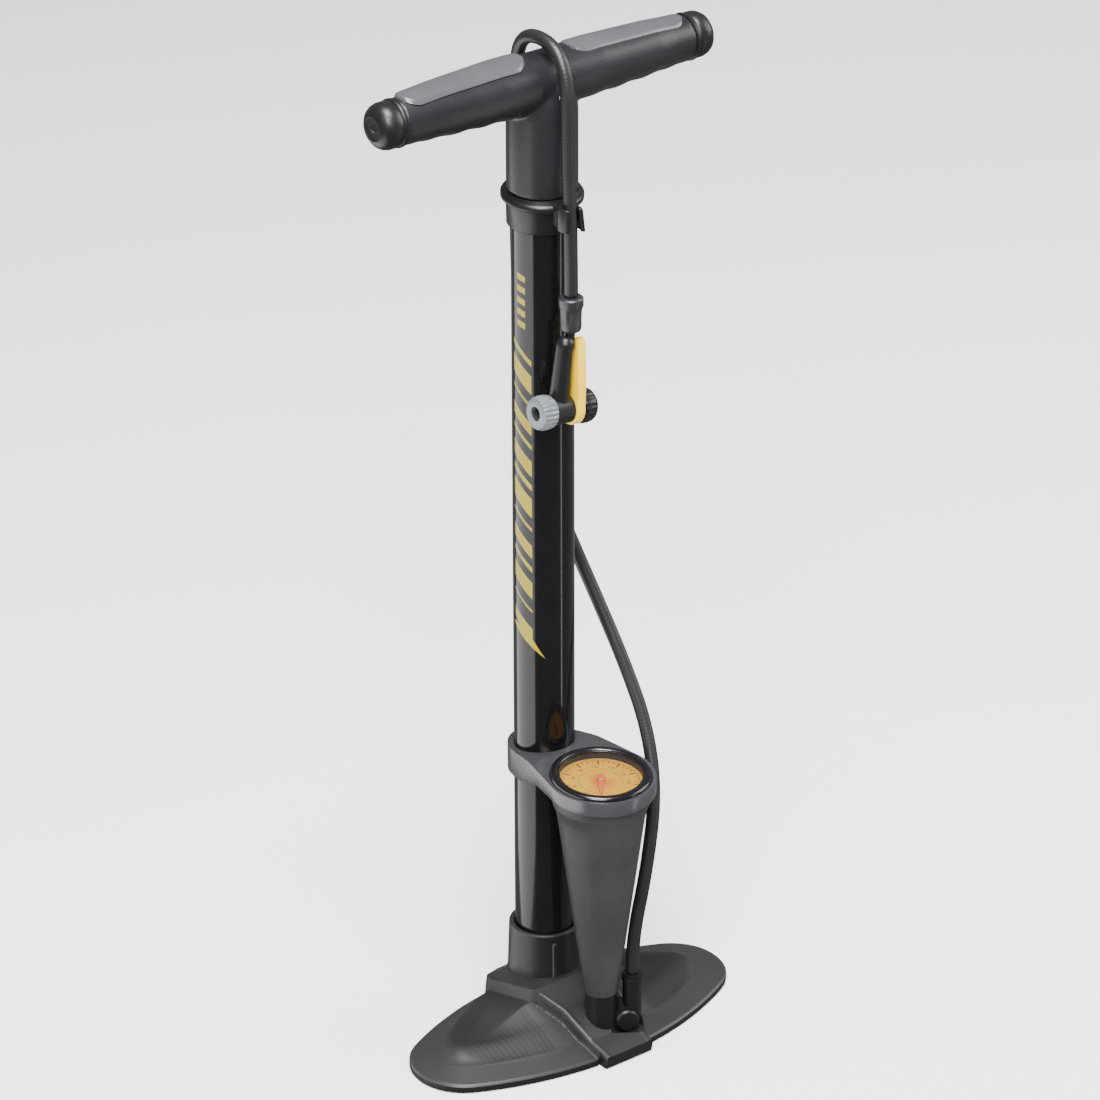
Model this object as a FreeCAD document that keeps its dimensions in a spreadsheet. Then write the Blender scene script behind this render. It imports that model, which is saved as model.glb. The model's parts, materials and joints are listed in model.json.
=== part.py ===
import FreeCAD, Part
import Sketcher
import math
import os
from FreeCAD import Placement, Rotation, Vector

# Floor pump for bicycle tyres, in millimetres.
# Origin: on the floor, under the barrel's axis.  +Z is up the barrel, -Y is the side with the
# gauge, +X is along the handle.

doc = FreeCAD.newDocument("floor_pump")

# ---------------------------------------------------------------------------------- sizes
# Driving dimensions: alias, value in millimetres (angles in degrees), meaning.
SIZES = [
    ("barrel_radius", 18.0, "outside of the barrel tube"),
    ("barrel_wall", 1.5, "wall of the barrel tube"),
    ("barrel_bottom", 24.0, "lower end of the barrel tube in the base socket"),
    ("barrel_length", 504.0, "length of the barrel tube"),
    ("glue_gap", 0.02, "radial room in a glued or pressed seat"),
    ("slide_gap", 0.05, "radial room in a running fit"),
    ("base_half_length", 112.0, "half length of the oval base"),
    ("base_half_width", 52.0, "half width of the oval base"),
    ("base_end_radius", 33.0, "radius of the oval's ends"),
    ("base_back", 24.0, "distance of the oval's centre in front of the barrel axis"),
    ("base_under", 0.8, "height of the base's underside above the floor"),
    ("rim_height", 5.0, "top of the oval's upright rim"),
    ("border_width", 15.0, "width of the smooth sloping border"),
    ("crown_width", 16.0, "width of the crown's slope inside the border"),
    ("border_top", 9.5, "top of the sloping border"),
    ("wing_top", 14.5, "top of the wings beside the ridge"),
    ("ridge_front", 82.0, "front end of the ridge"),
    ("ridge_half_width", 17.5, "half width of the ridge at the front"),
    ("socket_radius", 21.5, "outside of the socket round the barrel"),
    ("socket_top", 60.0, "top of the socket round the barrel"),
    ("plug_height", 16.0, "height of the plug in the barrel's lower end"),
    ("spigot_radius", 8.0, "spigot of the plug in the base"),
    ("spigot_bottom", 9.0, "lower end of the spigot"),
    ("duct_level", 16.0, "height of the air tube in the ridge"),
    ("duct_radius", 3.0, "outside of the air tube"),
    ("duct_bore", 1.6, "bore of every air passage"),
    ("seat_bore", 1.6, "hole above the check ball"),
    ("ball_radius", 2.5, "check ball"),
    ("ball_room", 3.2, "radius of the check ball's chamber"),
    ("gauge_reach", 54.0, "distance of the gauge's centre from the barrel axis"),
    ("gauge_face", 184.5, "height of the gauge's face"),
    ("gauge_tilt", 3.0, "lean of the gauge's face to the front"),
    ("bezel_radius", 30.2, "outside of the gauge's bezel"),
    ("window_radius", 24.3, "visible radius of the dial"),
    ("bracket_radius", 32.4, "outside of the bracket round the gauge"),
    ("bracket_ring", 21.8, "outside of the bracket round the barrel"),
    ("bracket_low", 164.0, "lower edge of the bracket at the barrel"),
    ("bracket_high", 181.5, "upper edge of the bracket at the barrel"),
    ("tower_low", 36.3, "foot of the tapered tower"),
    ("tower_high", 167.3, "top of the tapered tower"),
    ("tower_foot_radius", 10.3, "outside of the tower's foot"),
    ("tower_top_radius", 27.6, "outside of the tower's top"),
    ("tower_wall", 1.8, "wall of the tower"),
    ("manifold_radius", 6.0, "air block under the tower"),
    ("elbow_reach", 19.0, "distance of the hose elbow from the gauge axis"),
    ("elbow_level", 17.0, "height of the elbow's bend"),
    ("elbow_top", 46.0, "top of the elbow's sleeve"),
    ("elbow_radius", 5.6, "sleeve of the elbow"),
    ("knuckle_radius", 8.2, "round knuckle at the elbow's foot"),
    ("hose_radius", 4.0, "outside of the hose"),
    ("collar_skirt", 14.0, "reach of the collar's skirt below the barrel's top"),
    ("collar_rise", 8.0, "top of the collar above the barrel's top"),
    ("collar_foot_radius", 20.6, "collar at its lower edge"),
    ("collar_lip_radius", 24.0, "collar at its lip"),
    ("bush_radius", 9.0, "outside of the rod's bush"),
    ("bush_length", 24.0, "length of the rod's bush"),
    ("rod_radius", 5.0, "piston rod"),
    ("piston_low", 46.0, "underside of the piston at rest"),
    ("piston_height", 14.0, "height of the piston"),
    ("seal_section", 1.6, "height of the piston seal"),
    ("bumper_height", 7.0, "rubber bumper above the piston"),
    ("handle_rise", 65.0, "handle's axis above the collar's top at rest"),
    ("handle_half_length", 117.0, "half length of the handle"),
    ("hub_radius", 16.8, "handle beside its hub"),
    ("grip_radius", 13.4, "handle at the end caps"),
    ("cap_length", 16.0, "length of an end cap"),
    ("stem_radius", 20.4, "stem under the handle"),
    ("stem_wall", 2.8, "wall of the stem"),
    ("stem_gap", 0.3, "room between the stem and the collar at rest"),
    ("pad_thickness", 2.2, "thickness of a grip pad"),
    ("pad_proud", 0.5, "height of a grip pad above the handle"),
    ("pad_half_width", 9.5, "half width of a grip pad, seen from above"),
    ("presta_radius", 3.05, "bore of the narrow valve's grommet"),
    ("schrader_radius", 3.95, "bore of the wide valve's grommet"),
    ("port_radius", 10.0, "outside of the port caps"),
    ("port_reach", 20.0, "distance of a port's face from the head's middle"),
    ("lever_length", 43.0, "length of the lever above the ports' axis"),
    ("head_tilt", 7.0, "lean of the hanging head"),
    ("ferrule_length", 21.0, "length of the crimped ferrule"),
]

sheet = doc.addObject("Spreadsheet::Sheet", "sizes")
for row, (alias, value, meaning) in enumerate(SIZES, start=1):
    sheet.set(f"A{row}", meaning)
    sheet.set(f"B{row}", str(value))
    sheet.setAlias(f"B{row}", alias)
doc.recompute()


class Dim:
    """A size: its value now and the sheet formula that gives it."""

    def __init__(self, value, text):
        self.value = float(value)
        self.text = text

    def __add__(self, other):
        other = dim(other)
        return Dim(self.value + other.value, f"({self.text} + {other.text})")

    def __radd__(self, other):
        return dim(other) + self

    def __sub__(self, other):
        other = dim(other)
        return Dim(self.value - other.value, f"({self.text} - {other.text})")

    def __rsub__(self, other):
        return dim(other) - self

    def __mul__(self, other):
        other = dim(other)
        return Dim(self.value * other.value, f"({self.text} * {other.text})")

    def __rmul__(self, other):
        return dim(other) * self

    def __truediv__(self, other):
        other = dim(other)
        return Dim(self.value / other.value, f"({self.text} / {other.text})")

    def __neg__(self):
        return dim(0) - self


def dim(value):
    """A Dim from a number, or the Dim itself."""
    if isinstance(value, Dim):
        return value
    return Dim(value, f"({float(value):.6f})")


def size(alias):
    """The driving dimension of that name."""
    return Dim(sheet.get(alias), f"sizes.{alias}")


# ---------------------------------------------------------------------------------- helpers
nodes = []


def bind(thing, prop, value):
    """Give a property its formula."""
    thing.setExpression(prop, dim(value).text)


def place(thing, x=0, y=0, z=0, rotation=None):
    """Put a piece at x, y, z, turned by rotation."""
    x, y, z = dim(x), dim(y), dim(z)
    thing.Placement = Placement(Vector(x.value, y.value, z.value), rotation or Rotation())
    for prop, value in (("x", x), ("y", y), ("z", z)):
        thing.setExpression(f"Placement.Base.{prop}", value.text)
    return thing


def node(thing, name):
    """Name a finished piece, which becomes a file of its own."""
    thing.Label = name
    nodes.append(thing)
    return thing


TURN = {"Z": Rotation(), "X": Rotation(Vector(0, 1, 0), 90), "Y": Rotation(Vector(1, 0, 0), -90)}


def cylinder(radius, length, x=0, y=0, z=0, along="Z"):
    thing = doc.addObject("Part::Cylinder", "cylinder")
    bind(thing, "Radius", radius)
    bind(thing, "Height", length)
    return place(thing, x, y, z, TURN[along])


def cone(radius_low, radius_high, length, x=0, y=0, z=0, along="Z"):
    thing = doc.addObject("Part::Cone", "cone")
    bind(thing, "Radius1", radius_low)
    bind(thing, "Radius2", radius_high)
    bind(thing, "Height", length)
    return place(thing, x, y, z, TURN[along])


def box(length, width, height, x=0, y=0, z=0, rotation=None):
    """A block whose lowest corner is at x, y, z."""
    thing = doc.addObject("Part::Box", "block")
    bind(thing, "Length", length)
    bind(thing, "Width", width)
    bind(thing, "Height", height)
    return place(thing, x, y, z, rotation)


def sphere(radius, x=0, y=0, z=0):
    thing = doc.addObject("Part::Sphere", "ball")
    bind(thing, "Radius", radius)
    return place(thing, x, y, z)


def torus(radius, section, x=0, y=0, z=0):
    thing = doc.addObject("Part::Torus", "ring")
    bind(thing, "Radius1", radius)
    bind(thing, "Radius2", section)
    return place(thing, x, y, z)


def fuse(*things):
    thing = doc.addObject("Part::MultiFuse", "joined")
    thing.Shapes = list(things)
    thing.Refine = True
    return thing


def cut(base, *tools):
    thing = doc.addObject("Part::Cut", "cut")
    thing.Base = base
    thing.Tool = tools[0] if len(tools) == 1 else fuse(*tools)
    return thing


def common(first, second):
    thing = doc.addObject("Part::Common", "common")
    thing.Base = first
    thing.Tool = second
    return thing


def outline(body, plane, points):
    """A closed sketch on one of the body's own planes, each corner held by its formulas."""
    sketch = body.newObject("Sketcher::SketchObject", "outline")
    origin_plane = [f for f in body.Origin.OriginFeatures if f.Role == plane][0]
    sketch.AttachmentSupport = [(origin_plane, "")]
    sketch.MapMode = "FlatFace"
    corners = [(dim(u), dim(v)) for u, v in points]
    count = len(corners)
    for i in range(count):
        (u0, v0), (u1, v1) = corners[i], corners[(i + 1) % count]
        start = Vector(u0.value, v0.value, 0)
        sketch.addGeometry(Part.LineSegment(start, Vector(u1.value, v1.value, 0)), False)
    for i in range(count):
        sketch.addConstraint(Sketcher.Constraint("Coincident", i, 2, (i + 1) % count, 1))
    for i, (u, v) in enumerate(corners):
        for kind, value, axis in (("DistanceX", u, -2), ("DistanceY", v, -1)):
            if value.text == dim(0).text:
                sketch.addConstraint(Sketcher.Constraint("PointOnObject", i, 1, axis))
                continue
            held = Sketcher.Constraint(kind, -1, 1, i, 1, value.value)
            number = sketch.addConstraint(held)
            sketch.setExpression(f"Constraints[{number}]", value.text)
    return sketch


def turned(points, x=0, y=0, z=0, rotation=None):
    """A body turned on Z from an outline of (radius, height) corners."""
    body = doc.addObject("PartDesign::Body", "turned")
    sketch = outline(body, "XZ_Plane", points)
    turn = body.newObject("PartDesign::Revolution", "revolution")
    turn.Profile = sketch
    turn.ReferenceAxis = (sketch, ["V_Axis"])
    turn.Angle = 360
    return place(body, x, y, z, rotation)


def prism(plane, points, length, symmetric=False):
    """A body padded from an outline on one of its planes."""
    body = doc.addObject("PartDesign::Body", "prism")
    sketch = outline(body, plane, points)
    pad = body.newObject("PartDesign::Pad", "pad")
    pad.Profile = sketch
    bind(pad, "Length", length)
    pad.SideType = "Symmetric" if symmetric else "One side"
    return body


# Places worked out from the sizes, used by more than one piece.
barrel_bore = size("barrel_radius") - size("barrel_wall")
barrel_top = size("barrel_bottom") + size("barrel_length")
collar_low = barrel_top - size("collar_skirt")
collar_high = barrel_top + size("collar_rise")
handle_level = collar_high + size("handle_rise")
plug_top = size("barrel_bottom") + size("plug_height")
gauge_y = -size("gauge_reach")
gauge_turn = Rotation(Vector(1, 0, 0), size("gauge_tilt").value)
SCREW_CIRCLE = barrel_bore - 4.5
SCREW_RADIUS = 1.8
FOOT_PLACES = [(-78.0, -24.0), (78.0, -24.0), (-44.0, -50.0), (44.0, -50.0)]
FOOT_RADIUS = 9.0
FOOT_DEPTH = 1.2
# The elbow's port leaves the gauge's column along +X, turned towards the front.
PORT_ANGLE = math.radians(25.0)
PORT_TURN = Rotation(Vector(0, 0, 1), -math.degrees(PORT_ANGLE))
PORT_SPIGOT = 3.6
KNUCKLE_HALF = 6.5
CAP_STUD = 3.0


def at_port(thing, out, level, side=0, along="Z"):
    """Put a piece out along the elbow's port, and to its side, at a level."""
    out, side = dim(out), dim(side)
    x = out * math.cos(PORT_ANGLE) + side * math.sin(PORT_ANGLE)
    y = gauge_y - out * math.sin(PORT_ANGLE) + side * math.cos(PORT_ANGLE)
    return place(thing, x, y, level, PORT_TURN * TURN[along])


# ---------------------------------------------------------------------------------- base
def oval(body, level, inset):
    """Sketch of the base's four-arc oval, drawn in by inset, at a height."""
    sketch = body.newObject("Sketcher::SketchObject", "oval")
    plane = [f for f in body.Origin.OriginFeatures if f.Role == "XY_Plane"][0]
    sketch.AttachmentSupport = [(plane, "")]
    sketch.MapMode = "FlatFace"
    sketch.AttachmentOffset = Placement(Vector(0, 0, dim(level).value), Rotation())
    sketch.setExpression("AttachmentOffset.Base.z", dim(level).text)
    long, wide, end = size("base_half_length"), size("base_half_width"), size("base_end_radius")
    side = (long * long + wide * wide - 2 * long * end) / (2 * (wide - end))
    middle_y = -size("base_back")
    end_radius, side_radius = end - inset, side - inset
    reach = long - end
    turn = math.atan2(side.value - wide.value, reach.value)
    arcs = [
        (reach, middle_y, end_radius, -turn, turn),
        (dim(0), middle_y - (side - wide), side_radius, turn, math.pi - turn),
        (-reach, middle_y, end_radius, math.pi - turn, math.pi + turn),
        (dim(0), middle_y + (side - wide), side_radius, math.pi + turn, 2 * math.pi - turn),
    ]
    for x, y, radius, start, stop in arcs:
        circle = Part.Circle(Vector(x.value, y.value, 0), Vector(0, 0, 1), radius.value)
        sketch.addGeometry(Part.ArcOfCircle(circle, start, stop), False)
    for i in range(4):
        sketch.addConstraint(Sketcher.Constraint("Tangent", i, 2, (i + 1) % 4, 1))
    for i, (x, y, radius, start, stop) in enumerate(arcs):
        held = [("Radius", radius, (i,))]
        if i % 2 == 0:
            held += [("DistanceX", x, (-1, 1, i, 3)), ("DistanceY", y, (-1, 1, i, 3))]
        for kind, value, where in held:
            number = sketch.addConstraint(Sketcher.Constraint(kind, *where, value.value))
            sketch.setExpression(f"Constraints[{number}]", value.text)
    return sketch


def base_wings():
    """The oval plate: upright rim, smooth sloping border, low crown."""
    body = doc.addObject("PartDesign::Body", "wings")
    border = size("border_width")
    crown = size("crown_width")
    steps = [
        (size("base_under"), size("rim_height"), dim(0), dim(0)),
        (size("rim_height"), size("border_top"), dim(0), border),
        (size("border_top"), size("wing_top"), border, crown),
    ]
    for low, high, inset, slope in steps:
        pad = body.newObject("PartDesign::Pad", "step")
        pad.Profile = oval(body, low, inset)
        bind(pad, "Length", high - low)
        if slope.value:
            pad.TaperAngle = -math.degrees(math.atan2(slope.value, (high - low).value))
            pad.setExpression("TaperAngle", f"-atan({slope.text} / {(high - low).text})")
    return body


def base_ridge():
    """The raised ridge that runs from behind the barrel to the front edge."""
    half = size("ridge_half_width")
    front = -size("ridge_front")
    plan_right = [(half, front), (half + 1.0, -64.0), (half + 4.5, -44.0), (half + 13.0, -24.0)]
    plan_right += [(half + 20.5, 6.0), (half + 17.0, 14.0), (half + 2.0, 25.0)]
    plan = plan_right + [(-x, y) for x, y in reversed(plan_right)]
    top = prism("XY_Plane", plan, size("socket_top"))
    side_points = [
        (26.0, size("base_under")),
        (26.0, 19.0),
        (12.0, 28.0),
        (-26.0, 33.0),
        (-46.0, 24.0),
        (-66.0, 12.5),
        (front, 8.5),
        (front, size("base_under")),
    ]
    side = prism("YZ_Plane", side_points, 200, symmetric=True)
    return common(top, side)


def base_plate():
    """The moulded foot: oval, ridge, barrel socket and the pedestal under the tower."""
    under = size("base_under")
    socket = cone(size("socket_radius") + 1.2, size("socket_radius"), size("socket_top") - 20.0, z=20)
    foot = size("tower_foot_radius")
    pedestal = cone(foot - 0.5, foot - 0.9, size("tower_low") - 8.3, y=gauge_y, z=8)
    rib = cylinder(2.6, 32, x=-9.2, y=-21.0, z=24)
    solid = fuse(base_wings(), base_ridge(), socket, pedestal, rib)
    seat_radius = size("barrel_radius") + size("glue_gap")
    tools = [
        cylinder(seat_radius, 60, z=size("barrel_bottom")),
        cylinder(size("spigot_radius") + size("glue_gap"), 30, z=size("spigot_bottom")),
        cylinder(size("manifold_radius") + size("glue_gap"), 60, y=gauge_y, z=8.5),
        cylinder(size("duct_radius"), size("gauge_reach"), y=gauge_y, z=size("duct_level"), along="Y"),
        at_port(box(22, 23, 30), 4.5, size("elbow_level") - 10.6, side=-11.5),
    ]
    for x, y in FOOT_PLACES:
        tools.append(cylinder(FOOT_RADIUS, FOOT_DEPTH, x, y, 0))
    tools.append(cylinder(7.0, FOOT_DEPTH))
    for i in range(4):
        angle = math.radians(45 + 90 * i)
        x, y = SCREW_CIRCLE * math.cos(angle), SCREW_CIRCLE * math.sin(angle)
        tools.append(cylinder(SCREW_RADIUS, 40, x, y, 0))
        tools.append(cylinder(3.6, 4.0, x, y, 0))
    node(cut(solid, *tools), "base_plate")


def rubber_feet():
    for number, (x, y) in enumerate(FOOT_PLACES, start=1):
        node(cylinder(FOOT_RADIUS, FOOT_DEPTH, x, y, 0), f"foot_pad_{number}")
    node(cylinder(7.0, FOOT_DEPTH), "centre_pad")


def base_screws():
    """Four screws that hold the barrel's plug down to the base."""
    screws = []
    for i in range(4):
        angle = math.radians(45 + 90 * i)
        x, y = SCREW_CIRCLE * math.cos(angle), SCREW_CIRCLE * math.sin(angle)
        shank = cylinder(SCREW_RADIUS - 0.02, 30, x, y, 2.0)
        head = cylinder(3.3, 2.4, x, y, 1.6)
        screws.append(cut(fuse(shank, head), cylinder(1.1, 1.4, x, y, 1.6)))
    group = doc.addObject("Part::Compound", "screws")
    group.Links = screws
    node(group, "base_screws")


# ---------------------------------------------------------------------------------- barrel
def barrel():
    tube = cut(
        cylinder(size("barrel_radius"), size("barrel_length"), z=size("barrel_bottom")),
        cylinder(barrel_bore, size("barrel_length") + 2, z=size("barrel_bottom") - 1),
    )
    node(tube, "barrel")


def barrel_plug():
    """Plug in the barrel's foot: it holds the check valve and hands the air to the ridge."""
    low = size("spigot_bottom") + 0.3
    seat = barrel_bore - size("glue_gap")
    groove = plug_top - 7.0
    profile = [
        (size("seat_bore"), plug_top),
        (seat, plug_top),
        (seat, groove + 2.2),
        (seat - 2.2, groove + 2.2),
        (seat - 2.2, groove),
        (seat, groove),
        (seat, size("barrel_bottom") + 0.1),
        (size("spigot_radius"), size("barrel_bottom") + 0.1),
        (size("spigot_radius"), low),
        (size("duct_bore"), low),
        (size("duct_bore"), size("barrel_bottom") - 3.0),
        (size("ball_room"), size("barrel_bottom") - 3.0),
        (size("ball_room"), plug_top - 5.0),
        (size("seat_bore"), plug_top - 5.0),
    ]
    side = cylinder(size("duct_radius"), 12, y=-14.0, z=size("duct_level"), along="Y")
    tools = [side]
    for i in range(4):
        angle = math.radians(45 + 90 * i)
        x, y = SCREW_CIRCLE * math.cos(angle), SCREW_CIRCLE * math.sin(angle)
        tools.append(cylinder(SCREW_RADIUS, 12, x, y, 20.5))
    node(cut(turned(profile), *tools), "barrel_plug")
    node(torus(barrel_bore - 1.15, 1.0, z=groove + 1.1), "plug_ring")


def check_valve():
    """Ball and spring under the seat in the plug; the retainer is a drilled screw."""
    room = size("ball_room") - size("glue_gap")
    floor = size("barrel_bottom") - 3.0
    seat = plug_top - 5.0
    drop = math.sqrt(size("ball_radius").value ** 2 - size("seat_bore").value ** 2)
    centre = seat - drop - 0.05
    node(cut(cylinder(room, 3.0, z=floor), cylinder(1.2, 4, z=floor - 0.5)), "valve_retainer")
    node(sphere(size("ball_radius"), z=centre), "valve_ball")
    coil_low = floor.value + 3.0 + 0.3
    coil_high = centre.value - size("ball_radius").value - 0.05
    wire = 0.3
    coil_length = coil_high - coil_low - 2 * wire
    helix = Part.makeHelix(coil_length / 5.0, coil_length, 1.8)
    start = Part.Wire(Part.makeCircle(wire, Vector(1.8, 0, 0), Vector(0, 1, 0)))
    coil = Part.Wire(helix).makePipeShell([start], True, True)
    spring = doc.addObject("Part::Feature", "spring")
    spring.Shape = coil
    spring.Placement = Placement(Vector(0, 0, coil_low + wire), Rotation())
    node(spring, "valve_spring")


# ---------------------------------------------------------------------------------- air path
def air_path():
    reach = size("gauge_reach")
    level = size("duct_level")
    tube_length = reach - 6.5
    radius = size("duct_radius") - size("glue_gap")
    tube = cut(
        cylinder(radius, tube_length - 4.0, y=gauge_y + 4.5, z=level, along="Y"),
        cylinder(size("duct_bore"), tube_length + 2, y=gauge_y + 2.5, z=level, along="Y"),
    )
    node(tube, "air_tube")
    radius = size("manifold_radius")
    block = fuse(
        cylinder(radius, 30.0, y=gauge_y, z=8.6),
        at_port(cylinder(PORT_SPIGOT, size("elbow_reach") - 5.0), 0, size("elbow_level"), along="X"),
    )
    bore = size("duct_bore")
    block = cut(
        block,
        cylinder(bore + 0.3, 40, y=gauge_y, z=13.0),
        cylinder(size("duct_radius"), 6, y=gauge_y + 4.4, z=level, along="Y"),
        cylinder(bore, 8, y=gauge_y, z=level, along="Y"),
        at_port(cylinder(bore, 40), 0, size("elbow_level"), along="X"),
        cylinder(2.5, 10, y=gauge_y, z=31.0),
    )
    node(block, "manifold")


def hose_elbow():
    """Upright elbow on the column's port; a screwed cap closes the front of its knuckle."""
    reach, level, top = size("elbow_reach"), size("elbow_level"), size("elbow_top")
    bore = size("duct_bore")
    hole = PORT_SPIGOT + size("glue_gap")
    body = fuse(
        at_port(
            cylinder(size("knuckle_radius"), 2 * KNUCKLE_HALF),
            reach - 4.5,
            level,
            side=-KNUCKLE_HALF,
            along="Y",
        ),
        at_port(cylinder(size("elbow_radius"), top - level), reach, level),
        at_port(cylinder(size("elbow_radius") + 0.7, 3.0), reach, top - 4.5),
    )
    body = cut(
        body,
        at_port(cylinder(bore, 40), reach, level),
        at_port(cylinder(bore, 10), reach - 10, level, along="X"),
        at_port(cylinder(hole, 8), reach - 12.9, level, along="X"),
        at_port(cylinder(CAP_STUD, 2.7), reach - 4.5, level, side=-KNUCKLE_HALF, along="Y"),
    )
    node(body, "hose_elbow")
    stud = CAP_STUD - size("glue_gap")
    rim = size("knuckle_radius") - 1.2
    cap = turned([(0, 0), (rim - 1.0, 0), (rim, 1.2), (rim, 2.2), (stud, 2.2), (stud, 4.8), (0, 4.8)])
    node(at_port(cap, reach - 4.5, level, side=-KNUCKLE_HALF - 2.2, along="Y"), "elbow_nut")


# ---------------------------------------------------------------------------------- gauge
def gauge_tower():
    low, high = size("tower_low"), size("tower_high")
    foot, top, wall = size("tower_foot_radius"), size("tower_top_radius"), size("tower_wall")
    profile = [(foot - wall, low), (foot, low), (top, high), (top - wall, high)]
    node(turned(profile, y=gauge_y), "gauge_tower")
    pipe = cut(
        cylinder(2.5 - size("glue_gap"), 119.0, y=gauge_y, z=32.0),
        cylinder(size("duct_bore"), 121.0, y=gauge_y, z=31.0),
    )
    node(pipe, "gauge_pipe")
    stem = cut(
        fuse(cylinder(4.0, 12.0, y=gauge_y, z=151.2), cylinder(5.4, 4.0, y=gauge_y, z=151.2)),
        cylinder(size("duct_bore"), 14.0, y=gauge_y, z=150.0),
    )
    node(stem, "gauge_stem")


def gauge_bracket():
    """Grey casting that clamps the barrel and carries the gauge."""
    ring, cup, reach = size("bracket_ring"), size("bracket_radius"), size("gauge_reach")
    # Tangent lines join the two rings: their touch points follow from the radii and the reach.
    lean = math.asin((cup.value - ring.value) / reach.value)
    c, s = math.cos(lean), math.sin(lean)
    low, high = size("bracket_low") - 2.0, size("bracket_high") + 8.0
    web = prism(
        "XY_Plane",
        [
            (ring * c, ring * s),
            (cup * c, gauge_y + cup * s),
            (cup * (-c), gauge_y + cup * s),
            (ring * (-c), ring * s),
        ],
        high,
    )
    plan = fuse(web, cylinder(ring, high), cylinder(cup, high, y=gauge_y))
    face = size("gauge_face")
    slope = math.tan(math.radians(size("gauge_tilt").value))
    side = prism(
        "YZ_Plane",
        [
            (ring + 1.0, size("bracket_low")),
            (-10.0, size("bracket_low") - 1.5),
            (gauge_y - cup - 1.0, face - 17.0 - (cup + 1.0) * slope),
            (gauge_y - cup - 1.0, face - 2.2 - (cup + 1.0) * slope),
            (gauge_y + cup, face - 2.2 + cup * slope),
            (ring + 1.0, size("bracket_high")),
        ],
        200,
        symmetric=True,
    )
    solid = common(plan, side)
    seat = size("bezel_radius") + 0.25
    seat_profile = [(0, -40.0), (seat, -40.0), (seat, 60.0), (0, 60.0)]
    screw_level = size("bracket_low") + 8.0
    solid = cut(
        solid,
        cylinder(size("barrel_radius") + size("glue_gap"), high + 2, z=-1),
        turned(seat_profile, 0, gauge_y, face, gauge_turn),
        cylinder(2.0, 8, y=size("barrel_radius") - 1.0, z=screw_level, along="Y"),
    )
    node(solid, "gauge_bracket")
    screw = cut(
        cylinder(1.98, 4.4, y=size("barrel_radius") + 0.1, z=screw_level, along="Y"),
        cylinder(1.0, 2.0, y=size("barrel_radius") + 3.0, z=screw_level, along="Y"),
    )
    node(screw, "bracket_screw")


def on_gauge(thing, name):
    """Seat a piece drawn about the face's centre on the tilted gauge."""
    node(place(thing, 0, gauge_y, size("gauge_face"), gauge_turn), name)


def gauge_housing():
    bezel, window = size("bezel_radius"), size("window_radius")
    on_gauge(
        turned(
            [
                (window, -1.2),
                (window + 1.2, 0.0),
                (bezel - 1.6, 0.0),
                (bezel, -1.8),
                (bezel, -6.0),
                (window + 1.5, -6.0),
                (window + 1.5, -1.6),
                (window, -1.6),
            ]
        ),
        "gauge_bezel",
    )
    on_gauge(turned([(0, -3.0), (window + 1.4, -3.0), (window + 1.4, -1.8), (0, -1.8)]), "gauge_lens")
    case_outer, case_low = bezel - 1.8, bezel - 8.4
    on_gauge(
        turned(
            [
                (6.0, -27.0),
                (case_low, -27.0),
                (case_low, -14.6),
                (case_outer, -14.6),
                (case_outer, -6.2),
                (case_outer - 1.4, -6.2),
                (case_outer - 1.4, -13.4),
                (case_low - 1.3, -13.4),
                (case_low - 1.3, -25.6),
                (6.0, -25.6),
            ]
        ),
        "gauge_case",
    )
    on_gauge(
        turned([(1.4, -7.4), (window + 1.4, -7.4), (window + 1.4, -6.6), (1.4, -6.6)]),
        "gauge_dial",
    )


PINION_TEETH = 8
SECTOR_TEETH = 72
MODULE = 0.4
NEEDLE_ANGLE = 232.3
SECTOR_SPAN = 46.0
SECTOR_TRAVEL = 30.0


def toothed(teeth, count, root_radius, tip_radius, low, height, centre_y=0.0, facing=0.0):
    """Trapezium teeth round a centre on the face's Y axis, padded up from one flat outline."""
    pitch = 2 * math.pi / teeth
    corners = ((-0.30, root_radius), (-0.11, tip_radius), (0.11, tip_radius), (0.30, root_radius))
    points = []
    for i in range(count):
        middle = (i - (count - 1) / 2) * pitch + facing
        for offset, radius in corners:
            angle = middle + offset * pitch
            points.append(Vector(radius * math.cos(angle), centre_y + radius * math.sin(angle), low))
    if count < teeth:
        points.append(Vector(0, centre_y, low))
    points.append(points[0])
    return Part.Face(Part.makePolygon(points)).extrude(Vector(0, 0, height))


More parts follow.
